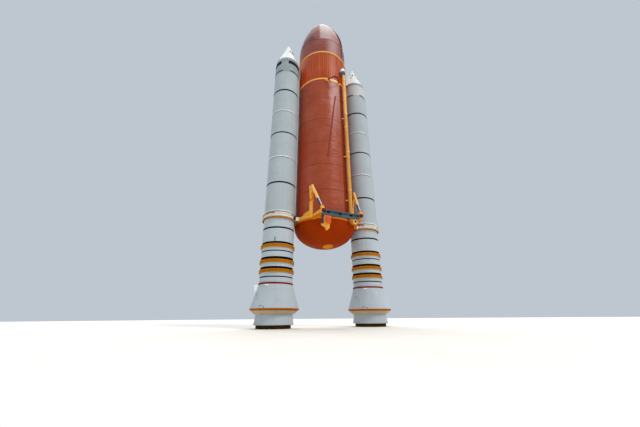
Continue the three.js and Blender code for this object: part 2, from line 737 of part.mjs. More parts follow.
function addTies(name, side) {
  const boosterX = side * BOOSTER_OFFSET;
  const { bottom, top, flange } = ATTACH_RING;
  const ringCutter = solidOf([
    [RING_SEAT, 0], [RING_SEAT, bottom - GAP], [flange + GAP, bottom - GAP],
    [flange + GAP, top + GAP], [RING_SEAT, top + GAP], [RING_SEAT, FORWARD_FITTING.high + GAP],
  ], BOOSTER_SIDES, boosterX, 0);

  for (const [place, tankY, boosterY] of AFT_STRUTS) {
    const { height, radius, tankInside, boosterInside } = AFT_STRUT;
    const wallX = Math.sqrt(TANK_RADIUS ** 2 - tankY ** 2);
    const tankEnd = [side * (wallX - tankInside), tankY, height];
    const boosterEnd = [boosterX - side * boosterInside, boosterY, height];
    const strut = bar(tankEnd, boosterEnd, radius).subtract(wallCutter)
      .subtract(ringCutter).subtract(aftFitting(side, GAP));
    tank.add(toMesh(`aft_strut_${place}_${name}`, strut, paint.white));
  }

  const { inner, outer, half, low, high } = FORWARD_FITTING;
  const [left, right] = [side * inner, side * outer].sort((a, b) => a - b);
  const fitting = block([left, -half, low], [right, half, high])
    .subtract(wallCutter).subtract(ringCutter);
  tank.add(toMesh(`forward_fitting_${name}`, fitting, paint.white));
}

for (const [name, side] of SIDES) addTies(name, side);

export default rocket;
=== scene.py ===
# %% [markdown]
# # A space rocket on display
# The object is a big rust-coloured tank between two white solid boosters, built at half
# its real size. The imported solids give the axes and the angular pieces, and the rest is made
# from the same real sizes. The smooth round parts are modelled again here, because the
# solids have flat facets, and the finish of each part is made from shader nodes.

import math

import bpy
from mathutils import Matrix, Vector


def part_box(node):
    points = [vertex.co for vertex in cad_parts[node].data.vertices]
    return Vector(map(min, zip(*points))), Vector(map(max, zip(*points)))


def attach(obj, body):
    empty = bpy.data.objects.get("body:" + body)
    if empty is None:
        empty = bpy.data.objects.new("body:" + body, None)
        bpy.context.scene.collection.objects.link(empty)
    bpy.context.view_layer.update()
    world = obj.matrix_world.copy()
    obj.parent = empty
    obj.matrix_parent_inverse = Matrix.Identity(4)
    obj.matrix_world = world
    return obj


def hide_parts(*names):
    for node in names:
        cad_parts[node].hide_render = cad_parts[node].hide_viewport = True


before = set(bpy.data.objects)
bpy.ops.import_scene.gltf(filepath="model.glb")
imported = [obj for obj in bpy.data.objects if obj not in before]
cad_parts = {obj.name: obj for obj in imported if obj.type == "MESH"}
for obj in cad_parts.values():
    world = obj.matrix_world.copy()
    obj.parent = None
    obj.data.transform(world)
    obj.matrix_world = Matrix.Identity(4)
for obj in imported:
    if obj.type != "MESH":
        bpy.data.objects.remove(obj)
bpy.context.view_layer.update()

# %% [markdown]
# ## Places
# A maker works from the drawing of the full-size rocket, so all pieces below have their real
# sizes and places in metres, measured from an upright axis and from the floor. HALF turns
# them into the model's size. The axes themselves are read from the solids.

# %% Axes and places
HALF = 0.5


def axis_through(node):
    """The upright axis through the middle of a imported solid."""
    low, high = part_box(node)
    return Vector(((low.x + high.x) / 2, (low.y + high.y) / 2, 0))


TANK = axis_through("hydrogen_tank")
BOOSTER = axis_through("left_nozzle")
TO_THE_RIGHT = axis_through("right_nozzle") - BOOSTER
ORIGIN = Vector((0, 0, 0))


def spot(x, y, z, axis=TANK):
    """A real place, in metres from an upright axis, in the model's frame."""
    return axis + Vector((x, y, z)) * HALF


def on_wall(azimuth, radius, z, axis=TANK):
    """A place on a round wall. Azimuth 0 faces the viewer's side, and 90 faces right."""
    turn = math.radians(azimuth)
    return spot(radius * math.sin(turn), -radius * math.cos(turn), z, axis)


print("tank axis", TANK[:], "left booster axis", BOOSTER[:])

# %% [markdown]
# ## Working by hand
# These helpers are the moves of a modeller's hands. A line of points is extruded one by
# one, a profile is spun like clay on a wheel, a flat outline is pulled out, and a line gets
# thickness like a pipe. Everything starts deselected, because an operator acts on all that
# is selected, and each shape ends as a closed skin whose faces point outwards.

# %% Start and end of editing
MERGE = 1e-5
print("points within", MERGE, "m of each other are merged")


def put_down():
    """Leaves edit mode and deselects everything."""
    if bpy.context.object and bpy.context.object.mode != "OBJECT":
        bpy.ops.object.mode_set(mode="OBJECT")
    bpy.ops.object.select_all(action="DESELECT")


def pick_up(*pieces):
    """Selects only these pieces, and makes the first one active."""
    put_down()
    for piece in pieces:
        piece.select_set(True)
    bpy.context.view_layer.objects.active = pieces[0]


def merge():
    """Selects all of the shape in hand, and merges its doubles."""
    bpy.ops.mesh.select_all(action="SELECT")
    bpy.ops.mesh.remove_doubles(threshold=MERGE)


def close_skin():
    """Merges the shape in hand, and turns its faces outwards."""
    merge()
    bpy.ops.mesh.normals_make_consistent(inside=False)
    put_down()


def trace(points):
    """A line of points, each one extruded from the one before."""
    put_down()
    bpy.ops.mesh.primitive_plane_add(size=0.01)
    bpy.ops.object.mode_set(mode="EDIT")
    bpy.ops.mesh.merge(type="CENTER")
    bpy.ops.transform.translate(value=points[0])
    for here, there in zip(points, points[1:]):
        bpy.ops.mesh.extrude_vertices_move(TRANSFORM_OT_translate={"value": there - here})
    return bpy.context.object


# %% Spin a profile
def lathe(rows, sides=72, axis=TANK, start=0, sweep=360):
    """A profile of radius and height rows, spun around an upright axis."""
    piece = trace([on_wall(start, radius, z, axis) for radius, z in rows])
    merge()
    bpy.ops.mesh.spin(steps=sides, angle=-math.radians(sweep), center=axis, axis=(0, 0, 1))
    if sweep < 360:
        merge()
        bpy.ops.mesh.fill_holes(sides=0)
    close_skin()
    return piece


def hoop(rows, sides=72, axis=TANK, start=0, sweep=360):
    """A lathe profile that runs around a ring's section and closes on itself."""
    return lathe([*rows, rows[0]], sides, axis, start, sweep)


def belt(inner, outer, low, high, sides=72, axis=TANK, start=0, sweep=360):
    """A ring with a square section, between two radii and two heights."""
    rows = [(inner, low), (outer, low), (outer, high), (inner, high)]
    return hoop(rows, sides, axis, start, sweep)


def drum(rows, sides=72, axis=TANK):
    """A lathe profile that is closed flat on the axis at both ends."""
    return lathe([(0, rows[0][1]), *rows, (0, rows[-1][1])], sides, axis)


# %% Pull out an outline, lay a pipe and set a box
def slab(corners, pull):
    """A flat outline of model points, filled and pulled out."""
    piece = trace([*corners, corners[0]])
    merge()
    bpy.ops.mesh.edge_face_add()
    bpy.ops.mesh.extrude_region_move(TRANSFORM_OT_translate={"value": pull})
    close_skin()
    return piece


def pipe(points, radius, roundness=3):
    """A line of model points with the thickness of a pipe."""
    piece = trace(points)
    pick_up(piece)
    bpy.ops.object.convert(target="CURVE")
    piece.data.bevel_depth = radius * HALF
    piece.data.bevel_resolution = roundness
    piece.data.use_fill_caps = True
    bpy.ops.object.convert(target="MESH")
    piece = bpy.context.object
    bpy.ops.object.mode_set(mode="EDIT")
    close_skin()
    return piece


def block(low, high, axis=TANK):
    """A box between two real corners."""
    low, high = spot(*low, axis), spot(*high, axis)
    put_down()
    bpy.ops.mesh.primitive_cube_add(size=1, location=(low + high) / 2, scale=high - low)
    bpy.ops.object.transform_apply(location=True, rotation=True, scale=True)
    return bpy.context.object


# %% Move, and lay a bar between two places
def move(piece, matrix):
    """Moves a piece by a matrix, and writes its new place into its mesh."""
    pick_up(piece)
    piece.matrix_world = matrix @ piece.matrix_world
    bpy.ops.object.transform_apply(location=True, rotation=True, scale=True)
    return piece


def turn(piece, degrees, axis=TANK):
    """Turns a piece around an upright axis, towards higher azimuths."""
    about = Matrix.Translation(axis) @ Matrix.Rotation(math.radians(degrees), 4, "Z")
    return move(piece, about @ Matrix.Translation(-axis))


def rod(start, end, rows, sides=24):
    """A lathed bar from one model point to another. Rows are radius and share of the way."""
    along = end - start
    reach = along.length / HALF
    piece = drum([(radius, share * reach) for radius, share in rows], sides, ORIGIN)
    aim = along.to_track_quat("Z", "Y").to_matrix().to_4x4()
    return move(piece, Matrix.Translation(start) @ aim)


def stud(azimuth, radius, z, size, axis=TANK, proud=0.02):
    """A round button on a wall, set in so far that it also sits on a slope."""
    inner = on_wall(azimuth, radius - 0.08, z, axis)
    outer = on_wall(azimuth, radius + proud, z, axis)
    return rod(inner, outer, [(size, 0), (size, 0.9), (size * 0.8, 1)], 16)


# %% Bevel, copy, join and repeat
def bevel(piece, width, segments=2, angle=30):
    """Rounds the sharp edges, as real machined and painted edges are."""
    pick_up(piece)
    bpy.ops.object.modifier_add(type="BEVEL")
    rounding = piece.modifiers[-1]
    rounding.width = width * HALF
    rounding.segments = segments
    rounding.limit_method = "ANGLE"
    rounding.angle_limit = math.radians(angle)
    bpy.ops.object.modifier_apply(modifier=rounding.name)
    return piece


def copy(piece):
    pick_up(piece)
    bpy.ops.object.duplicate()
    return bpy.context.object


def join(*pieces):
    pick_up(*pieces)
    bpy.ops.object.join()
    return bpy.context.object


def ring_of(piece, count, axis=TANK):
    """Copies of a piece all around an axis, by an array whose step is a turned empty."""
    put_down()
    bpy.ops.object.empty_add()
    step = bpy.context.object
    about = Matrix.Translation(axis) @ Matrix.Rotation(math.tau / count, 4, "Z")
    step.matrix_world = about @ Matrix.Translation(-axis)
    pick_up(piece)
    bpy.ops.object.modifier_add(type="ARRAY")
    array = piece.modifiers[-1]
    array.count = count
    array.use_relative_offset = False
    array.use_object_offset = True
    array.offset_object = step
    bpy.ops.object.modifier_apply(modifier=array.name)
    bpy.data.objects.remove(step)
    return piece


def mirror(piece):
    """Turns a piece into its mirror image across the middle of the rocket."""
    move(piece, Matrix.Scale(-1, 4, (1, 0, 0)))
    bpy.ops.object.mode_set(mode="EDIT")
    close_skin()
    return piece


# %% Take over an angular solid
def dress(node):
    """A merged copy of an angular solid, ready for bevels. Its flat faces are one again."""
    put_down()
    piece = bpy.data.objects.new(node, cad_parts[node].data.copy())
    bpy.context.scene.collection.objects.link(piece)
    pick_up(piece)
    bpy.ops.object.mode_set(mode="EDIT")
    merge()
    bpy.ops.mesh.dissolve_limited(angle_limit=math.radians(1))
    put_down()
    return piece


# %% Name and finish a piece
triangles = {}


def done(piece, name, finish, slot, *nodes, smooth=32):
    """Names a piece, gives it its finish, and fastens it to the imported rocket."""
    pick_up(piece)
    bpy.ops.object.shade_smooth_by_angle(angle=math.radians(smooth))
    piece.name = name
    piece.data.name = name
    piece.data.materials.clear()
    piece.data.materials.append(finish)
    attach(piece, "root")
    if nodes:
        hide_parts(*nodes)
    triangles[name] = sum(len(face.vertices) - 2 for face in piece.data.polygons)
    print(name, triangles[name], "triangles")


def trimmed(node, suffix, finish, slot, width=0.03, angle=25):
    """An angular solid as a finished piece, with its edges rounded."""
    done(bevel(dress(node), width, 2, angle), f"{node}_{suffix}", finish, slot, node)


# %% Finish a piece on both sides
def both_boosters(piece, name, finish, *nodes, slot="booster_white", mirrored=False):
    """A piece made on the left booster, and the same on the right one."""
    other = copy(piece)
    if mirrored:
        mirror(other)
    else:
        move(other, Matrix.Translation(TO_THE_RIGHT))
    for side, made in (("left", piece), ("right", other)):
        done(made, f"{side}_{name}", finish, slot, *[f"{side}_{node}" for node in nodes])


def both_tank_sides(piece, name, finish):
    """A piece made on the left of the tank, and its mirror image on the right."""
    other = mirror(copy(piece))
    done(piece, f"{name}_left", finish, "yellow_paint")
    done(other, f"{name}_right", finish, "yellow_paint")


# %% [markdown]
# ## Camera
# The camera stood close to the rocket, near the ground, and looked up through a wide lens.
# The place and the lens come from a fit of the rocket's known heights to the photograph.

# %% Camera
EYE = Vector((-7.1155, -15.3825, 0.5485))
YAW, PITCH, ROLL = math.radians(23.291), math.radians(21.971), math.radians(-0.450)
LENS = 14.554

flat = math.cos(PITCH)
forward = Vector((math.sin(YAW) * flat, math.cos(YAW) * flat, math.sin(PITCH)))
level = Vector((math.cos(YAW), -math.sin(YAW), 0))
upright = level.cross(forward)
right = level * math.cos(ROLL) + upright * math.sin(ROLL)
above = upright * math.cos(ROLL) - level * math.sin(ROLL)
put_down()
bpy.ops.object.camera_add()
camera = bpy.context.object
facing_it = Matrix((right, above, -forward)).transposed().to_4x4()
camera.matrix_world = Matrix.Translation(EYE) @ facing_it
camera.data.sensor_width = 36
camera.data.lens = LENS
camera.data.clip_end = 500
bpy.context.scene.camera = camera
print("camera at", camera.location[:])

# %% [markdown]
# ## Finishes
# Three effects are used by many finishes, so each is a node group that is built once. The
# first is old outdoor paint: slow clouds of fading, dirt that runs down, and a fine grain.
# The second is sprayed foam, whose skin ripples like orange peel under its paint. The third
# is a soft mask that grows and fades across the rocket and grows with the height, for
# painted highlights and painted shade on one side. It could be painted by hand, but ranges
# are easier to correct.

# %% Small helpers for shader nodes
def tint(code):
    """A colour from its six-figure code, as the linear values that a shader wants."""
    parts = [int(code[i:i + 2], 16) / 255 for i in (0, 2, 4)]
    linear = [p / 12.92 if p <= 0.04045 else ((p + 0.055) / 1.055) ** 2.4 for p in parts]
    return (*linear, 1)


def node(tree, kind, inputs=(), **settings):
    """A shader node with its settings, whose inputs are values or other nodes' sockets."""
    made = tree.nodes.new("ShaderNode" + kind)
    for name, value in settings.items():
        setattr(made, name, value)
    for key, value in dict(inputs).items():
        if isinstance(value, bpy.types.NodeSocket):
            tree.links.new(value, made.inputs[key])
        else:
            made.inputs[key].default_value = value
    return made


def blend(tree, share, first, second):
    """The colour between two colours."""
    return node(tree, "Mix", {0: share, 6: first, 7: second}, data_type="RGBA").outputs[2]


def between(tree, value, low, high, to_low=0.0, to_high=1.0):
    """A value moved from one range to another, and held inside it."""
    ranges = {0: value, 1: low, 2: high, 3: to_low, 4: to_high}
    return node(tree, "MapRange", ranges).outputs[0]


def noise(tree, place, scale, detail=4.0, roughness=0.55, stretch=(1, 1, 1)):
    moved = node(tree, "Mapping", {"Vector": place, "Scale": stretch}).outputs[0]
    inputs = {"Vector": moved, "Scale": scale, "Detail": detail, "Roughness": roughness}
    return node(tree, "TexNoise", inputs).outputs[0]


def maths(tree, operation, first, second):
    return node(tree, "Math", {0: first, 1: second}, operation=operation).outputs[0]


def times(tree, first, second):
    return maths(tree, "MULTIPLY", first, second)


def plus(tree, first, second):
    return maths(tree, "ADD", first, second)


# %% Start a node group
def new_group(name, inputs, outputs):
    """An empty group, with the sockets that go in and the ones that come out."""
    group = bpy.data.node_groups.new(name, "ShaderNodeTree")
    add = group.interface.new_socket
    for title, kind, value in inputs:
        made = add(title, in_out="INPUT", socket_type=f"NodeSocket{kind}")
        made.default_value = value
    for title, kind in outputs:
        add(title, in_out="OUTPUT", socket_type=f"NodeSocket{kind}")
    given = group.nodes.new("NodeGroupInput").outputs
    return group, given, group.nodes.new("NodeGroupOutput").inputs


# %% Weathered paint
def build_weathered_paint():
    group, given, result = new_group(
        "weathered_paint",
        [("Paint", "Color", (1, 1, 1, 1)), ("Grime", "Color", (0.2, 0.2, 0.2, 1)),
         ("Fading", "Float", 0.3), ("Streaks", "Float", 0.3), ("Rough", "Float", 0.45)],
        [("Color", "Color"), ("Roughness", "Float"), ("Height", "Float")])
    place = node(group, "TexCoord").outputs["Object"]
    clouds = noise(group, place, 0.9, 6.0, 0.62)
    patches = noise(group, place, 5.0, 4.0)
    runs = noise(group, place, 1.0, 5.0, 0.6, (5.0, 5.0, 0.16))
    grain = noise(group, place, 160.0, 2.0)
    fading = times(group, between(group, clouds, 0.35, 0.68), given["Fading"])
    specks = times(group, between(group, patches, 0.5, 0.75), given["Fading"])
    dirt = times(group, between(group, runs, 0.52, 0.76), given["Streaks"])
    color = blend(group, fading, given["Paint"], given["Grime"])
    color = blend(group, times(group, specks, 0.5), color, given["Grime"])
    color = blend(group, dirt, color, given["Grime"])
    group.links.new(color, result["Color"])
    wear = plus(group, times(group, clouds, 0.24), -0.12)
    group.links.new(plus(group, given["Rough"], wear), result["Roughness"])
    group.links.new(plus(group, times(group, grain, 0.25), patches), result["Height"])
    return group


weathered_paint = build_weathered_paint()
print("group:", weathered_paint.name)

# %% Sprayed foam
def build_sprayed_foam():
    group, given, result = new_group(
        "sprayed_foam",
        [("Foam", "Color", (0.3, 0.1, 0.05, 1)), ("Dark", "Color", (0.2, 0.05, 0.03, 1)),
         ("Pale", "Color", (0.4, 0.2, 0.12, 1)), ("Rough", "Float", 0.45)],
        [("Color", "Color"), ("Roughness", "Float"), ("Height", "Float")])
    place = node(group, "TexCoord").outputs["Object"]
    waves = noise(group, place, 0.75, 3.0, 0.5, (1.0, 1.0, 0.55))
    clouds = noise(group, place, 1.4, 7.0, 0.66, (1.0, 1.0, 0.6))
    dimples = noise(group, place, 7.0, 3.0)
    wrinkles = noise(group, place, 1.5, 3.0, 0.5, (1.0, 1.0, 2.6))
    peel = noise(group, place, 55.0, 3.0)
    rings = noise(group, place, 1.0, 4.0, 0.6, (0.25, 0.25, 3.2))
    color = given["Foam"]
    for pattern, low, high, most, other in (
            (clouds, 0.40, 0.72, 0.55, "Dark"), (waves, 0.52, 0.74, 0.40, "Pale"),
            (rings, 0.50, 0.74, 0.22, "Dark"), (peel, 0.45, 0.80, 0.18, "Pale")):
        share = between(group, pattern, low, high, 0.0, most)
        color = blend(group, share, color, given[other])
    group.links.new(color, result["Color"])
    wear = between(group, clouds, 0.3, 0.7, -0.06, 0.10)
    group.links.new(plus(group, given["Rough"], wear), result["Roughness"])
    height = times(group, waves, 14.0)
    for pattern, depth in ((dimples, 1.3), (wrinkles, 9.0), (peel, 0.22)):
        height = plus(group, height, times(group, pattern, depth))
    group.links.new(height, result["Height"])
    return group


sprayed_foam = build_sprayed_foam()
print("group:", sprayed_foam.name)

# %% Mask by place
# A step from left to right across the front goes this far in x and this far towards minus y
ACROSS = (0.918, 0.395)
MASK_RANGES = ("Grow from", "Grow to", "Fade from", "Fade to", "Low", "High")


def build_place_mask():
    """A mask that grows and fades from left to right, and grows with the height."""
    group, given, result = new_group(
        "place_mask", [(title, "Float", 0.0) for title in MASK_RANGES], [("Share", "Float")])
    place = node(group, "TexCoord").outputs["Object"]
    parts = node(group, "SeparateXYZ", {0: place}).outputs
    rightwards, backwards = (times(group, parts[i], ACROSS[i]) for i in (0, 1))
    across = maths(group, "SUBTRACT", rightwards, backwards)
    inside = between(group, across, given["Grow from"], given["Grow to"])
    fade = between(group, across, given["Fade from"], given["Fade to"])
    climb = between(group, parts[2], given["Low"], given["High"])
    grain = noise(group, place, 9.0, 5.0, 0.7, (1.0, 1.0, 2.5))
    grain = between(group, grain, 0.35, 0.65, 0.65, 1.0)
    share = times(group, times(group, inside, fade), times(group, climb, grain))
    group.links.new(share, result["Share"])
    return group


place_mask = build_place_mask()
print("group:", place_mask.name)

# %% [markdown]
# ## Foams and paints
# Every finish is a foam or a paint with its own colours, and a bump node that gives the
# shader its fine relief. Gloss that is the same all over is set on the shader itself. For
# each painted highlight and each painted shade on one side of the tank, the mask blends in
# one more colour. Each mask has its ranges in the model's metres, across from left to right and up.

# %% Make a finish
SHEEN_SPREAD = 0.35


def material(name, group, relief, gloss, sheen=0.0, **values):
    """A finish from one of the groups. Relief is in metres."""
    made = bpy.data.materials.new(name)
    made.use_nodes = True
    tree = made.node_tree
    shader = tree.nodes["Principled BSDF"]
    effect = tree.nodes.new("ShaderNodeGroup")
    effect.node_tree = group
    for title, value in values.items():
        effect.inputs[title].default_value = tint(value) if isinstance(value, str) else value
    height = effect.outputs["Height"]
    bump = node(tree, "Bump", {"Height": height, "Distance": relief, "Strength": 1.0})
    tree.links.new(effect.outputs["Color"], shader.inputs["Base Color"])
    tree.links.new(effect.outputs["Roughness"], shader.inputs["Roughness"])
    tree.links.new(bump.outputs[0], shader.inputs["Normal"])
    shader.inputs["Specular IOR Level"].default_value = gloss
    shader.inputs["Sheen Weight"].default_value = sheen
    shader.inputs["Sheen Roughness"].default_value = SHEEN_SPREAD
    return made


def foam(name, base, dark, pale, rough=0.5, relief=0.004, gloss=0.22, sheen=0.0):
    return material(name, sprayed_foam, relief, gloss, sheen,
                    Foam=base, Dark=dark, Pale=pale, Rough=rough)


def paint(name, base, grime, fading=0.35, streaks=0.3, rough=0.6, relief=0.0008, gloss=0.12):
    return material(name, weathered_paint, relief, gloss,
                    Paint=base, Grime=grime, Fading=fading, Streaks=streaks, Rough=rough)


def blend_painted_light(made, colour, grow, fade, climb):
    """Blends a colour into a finish on one side of the rocket, by ranges across and up. It paints
    highlights and shade.
    """
    tree = made.node_tree
    base = tree.nodes["Principled BSDF"].inputs["Base Color"]
    mask = tree.nodes.new("ShaderNodeGroup")
    mask.node_tree = place_mask
    for socket, value in zip(mask.inputs, (*grow, *fade, *climb)):
        socket.default_value = value
    below = base.links[0].from_socket
    tree.links.new(blend(tree, mask.outputs["Share"], below, tint(colour)), base)


# %% Foams
# A range far to the right of the rocket, for a mask that doesn't fade out
NO_FADE = (9, 8)
RUST = foam("rust_foam", "9c4830", "843414", "b46e5a", rough=0.36, relief=0.005, gloss=0.14)
# Painted highlight: a pale patch on the upper right of the barrel, where the sun is reflected
blend_painted_light(RUST, "c09ea0", (0.30, 0.55), (1.75, 1.40), (13.0, 20.5))
# Painted shade: a deeper, unreflecting orange low on the left of the barrel
blend_painted_light(RUST, "ac3000", (-1.0, -2.0), NO_FADE, (19.0, 12.0))
RUST_MIDDLE = foam("rust_foam_middle", "8a4238", "74322a", "a06860",
                   rough=0.42, relief=0.005, gloss=0.2, sheen=0.1)
# Painted highlight: a pale patch on the right, between the upper flange and the ogive's seam
blend_painted_light(RUST_MIDDLE, "a28583", (0.12, 0.50), (1.5, 1.1), (19.0, 25.0))
# Painted shadow: the dark rust of the feed line's shadow on the barrel
RUST_SHADE = foam("painted_shadow_rust", "88300e", "6c2208", "94401c",
                  rough=0.6, relief=0.002, gloss=0.05)
RUST_TOP = foam("rust_foam_forward", "94504a", "7a3e38", "a87870",
                relief=0.006, gloss=0.18, sheen=0.03)
# Painted reflection: a near-white patch of bright sky on the top of the ogive
blend_painted_light(RUST_TOP, "e6e0de", (-0.42, -0.22), (1.4, 0.3), (20.4, 27.0))
# Painted shade: a darker left side of the ogive
blend_painted_light(RUST_TOP, "5a302c", (-0.4, -1.2), NO_FADE, (20.4, 23.0))
RUST_DARK = foam("rust_seam", "6c2c1c", "4a180e", "8a4836")
RUST_LINE = foam("rust_line", "7c3222", "62261a", "8c4230", gloss=0.1)
DOME = foam("dome_foam", "983204", "822802", "a63c12", rough=0.6, relief=0.003, gloss=0.02)
# Painted reflection: the dark streak where the feed line shows in the barrel's gloss
REFLECTION_RUST = foam("painted_reflection_rust", "8a3e2e", "7a3020", "9a4c3a", gloss=0.08)
print("foams:", len(bpy.data.materials))

# %% Coloured paints
ORANGE = paint("intertank_paint", "ac420c", "c47450",
               fading=0.25, streaks=0.75, rough=0.36, relief=0.002, gloss=0.16)
# Painted shade: a deeper orange low on the left of the intertank
blend_painted_light(ORANGE, "c83c00", (-1.0, -1.8), NO_FADE, (20.8, 19.4))
# Painted sheen: a pinkish highlight high on the left of the intertank
blend_painted_light(ORANGE, "d0805c", (-1.45, -1.9), NO_FADE, (19.8, 20.9))
# Painted shadow: the vivid orange-red of the feed line's shadow on the intertank
PIPE_SHADOW_ORANGE = paint("painted_pipe_shadow_orange", "c03c04", "a02c02", fading=0.3, gloss=0.03)
YELLOW = paint("yellow_paint", "f5b04a", "ba7620", streaks=0.35)
PALE_YELLOW = paint("pale_yellow", "f8c880", "d29848")
PIPE_YELLOW = paint("pipe_yellow", "f2b868", "ca8a3a", fading=0.4)
PIPE_LOW = paint("pipe_yellow_lower", "dca050", "b87c30", fading=0.4)
OCHRE = paint("ochre_paint", "c68a2a", "7e4c10", fading=0.5, streaks=0.4)
CREAM = paint("cream_paint", "ece2d0", "c0a888")
UNDERSIDE = paint("underside_paint", "baa98e", "8e7e62")
DEEP_YELLOW = paint("deep_yellow", "dc9028", "a0660c", streaks=0.35)
MAROON = paint("maroon_paint", "741626", "38080e", fading=0.4, rough=0.5)
TEAL = paint("teal_paint", "567c88", "36505a", fading=0.4, streaks=0.4)
# Partly painted light: the pale silver is the lit side of the thrust struts' steel tubes
SILVER = paint("silver_tube", "c4d4de", "8a98a2", fading=0.3, streaks=0.2, rough=0.3, gloss=0.5)
RED = paint("orange_red_paint", "fd6f3d", "d4583a")
AMBER = paint("amber_paint", "bc7606", "845000", streaks=0.4, gloss=0.03)
BAND_ORANGE = paint("skirt_orange", "ac6002", "804000", gloss=0.05)
# Painted shade on the longerons' shaded sides and under the fittings and outriggers; also the
# longerons' joint band
SHADE_AND_BAND_ORANGE = paint("shade_and_band_orange", "de7c00", "a45400", gloss=0.03)
COVER_AMBER = paint("cover_amber", "d88406", "a05c00", gloss=0.03)
KICK_RED = paint("kick_red", "8c1620", "500a10", fading=0.4, gloss=0.05)
PEACH = paint("peach_paint", "f8cc9c", "d49c6c", fading=0.4)
print("foams and coloured paints:", len(bpy.data.materials))

# %% White, grey and dark paints
WHITE = paint("booster_white", "aebac1", "989e9e", fading=0.3, rough=0.75, gloss=0.06)
# Painted light: a lighter white for the aft segment, aft skirt and nozzle than for the cases above
LIT_TAIL_WHITE = paint("tail_lit_white", "b4c0c8", "9ca2a4", fading=0.3, rough=0.7, gloss=0.08)
# Painted light: a lighter white for the right forward skirt
LIT_WHITE = paint("right_skirt_lit_white", "c6cacc", "a6a8a8", fading=0.3, rough=0.7, gloss=0.08)
SKIRT_WHITE = paint("forward_skirt_white", "9aaaaf", "808a8a", fading=0.6, rough=0.75, gloss=0.06)
CONE_WHITE = paint("cone_white", "e2e6e6", "c6cac8", fading=0.25, streaks=0.2, rough=0.5, gloss=0.3)
BAND = paint("joint_white", "dce4e8", "aab0b0", rough=0.3, gloss=0.5)
GREY = paint("collar_grey", "a0a6a6", "707674", fading=0.4, rough=0.7)
GLOSS = paint("white_cap", "f4f5f5", "d2d6d4", fading=0.3, streaks=0.25, rough=0.5)
SLATE = paint("slate_paint", "54686f", "26343a", fading=0.5, streaks=0.4)
LINE_GREY = paint("line_grey", "3c4042", "1c1e20", rough=0.7)
BLACK = paint("stripe_black", "03060a", "12181e", streaks=0.25, rough=0.7, gloss=0.03)
NAVY = paint("band_navy", "101c28", "24303a", streaks=0.25, rough=0.7, gloss=0.05)
# Painted shade: the shaded side of the thrust struts' steel tubes
SHADE_STEEL = paint("painted_shade_steel", "20343c", "10181c", fading=0.3, streaks=0.2, rough=0.4, gloss=0.3)
FOOT = paint("olive_foot", "4e3c14", "1e180a", fading=0.6, streaks=0.4, rough=0.8, gloss=0.03)
# Painted shade: near-black for the shaded insides of holes and openings
HOLE_SHADE = paint("painted_hole_shade", "08080a", "161618", fading=0.3, streaks=0.1, rough=0.8, gloss=0.03)
print("finishes:", len(bpy.data.materials))

# %% [markdown]
# ## Oxygen tank
# The front of the big tank is a long ogive with a small cap and a spike. A curve like this
# is best spun from a profile, with enough rows that no facet shows against the sky. Thin
# bands stand for the weld lands that show through the foam.

# %% Oxygen tank and its seams
TANK_RADIUS = 4.20
OGIVE_START, OGIVE_RADIUS, OGIVE_TOP = 45.60, 15.54, 55.20
# A hair's breadth, so that neighbouring pieces don't share a face
RIM = 0.0006
UPPER_FLANGE, LOWER_FLANGE, FLANGE_HALF = 42.92, 36.72, 0.13
ROUND = 144


def ogive_radius(z):
    climb = max(0.0, z - OGIVE_START)
    return TANK_RADIUS - OGIVE_RADIUS + math.sqrt(OGIVE_RADIUS ** 2 - climb ** 2)


def heights(low, high, steps):
    """Evenly spaced values, with both ends."""
    return [low + (high - low) * i / steps for i in range(steps + 1)]


OGIVE_SEAM, OGIVE_LINE = 46.30, 50.9
shell = [(TANK_RADIUS, UPPER_FLANGE + FLANGE_HALF + RIM), (TANK_RADIUS, OGIVE_START)]
shell += [(ogive_radius(z), z) for z in heights(OGIVE_START + 0.2, OGIVE_SEAM, 3)]
done(drum(shell, ROUND), "oxygen_tank_shell", RUST_MIDDLE, "tank_foam", "oxygen_tank")
front = [(ogive_radius(z), z) for z in heights(OGIVE_SEAM, OGIVE_TOP, 30)]
done(drum(front, ROUND), "oxygen_tank_ogive", RUST_TOP, "tank_foam")


def seam(z, tall, proud=0.012):
    """A thin band around the ogive or the barrel, with sloping edges."""
    section = ((-0.03, -tall), (proud, -tall * 0.7), (proud, tall * 0.7), (-0.03, tall))
    return hoop([(ogive_radius(z + up) + out, z + up) for out, up in section], ROUND)


done(seam(OGIVE_SEAM, 0.07), "oxygen_tank_seam", RUST_DARK, "tank_foam")
done(seam(OGIVE_LINE, 0.035, 0.006), "oxygen_tank_line", RUST_LINE, "tank_foam")

# %% Nose cap
CAP = [
    # radius, height above the ogive's top
    (0.85, RIM), (0.81, 0.10), (0.70, 0.25), (0.53, 0.42), (0.36, 0.57), (0.22, 0.70),
    (0.11, 0.78), (0.077, 0.83), (0.065, 1.00), (0.04, 1.03),
]
cap = drum([(radius, OGIVE_TOP + up) for radius, up in CAP], 48)
done(cap, "nose_cap_shell", RUST_TOP, "tank_foam", "nose_cap")
LIP = [(0.84, 0.0), (0.885, 0.01), (0.885, 0.07), (0.82, 0.08)]
lip = hoop([(radius, OGIVE_TOP + up) for radius, up in LIP])
done(lip, "nose_cap_lip", RUST_DARK, "tank_foam")
print("oxygen tank to", OGIVE_TOP + CAP[-1][1], "m")

# %% [markdown]
# ## Intertank
# Between the two yellow flange rings the wall is ribbed like a corrugated sheet. One rib is
# drawn as a hat section, pulled out and rounded, and an array sets 84 of them around the
# axis. Real ribs are what catch the light here, so a bump in the material isn't enough.

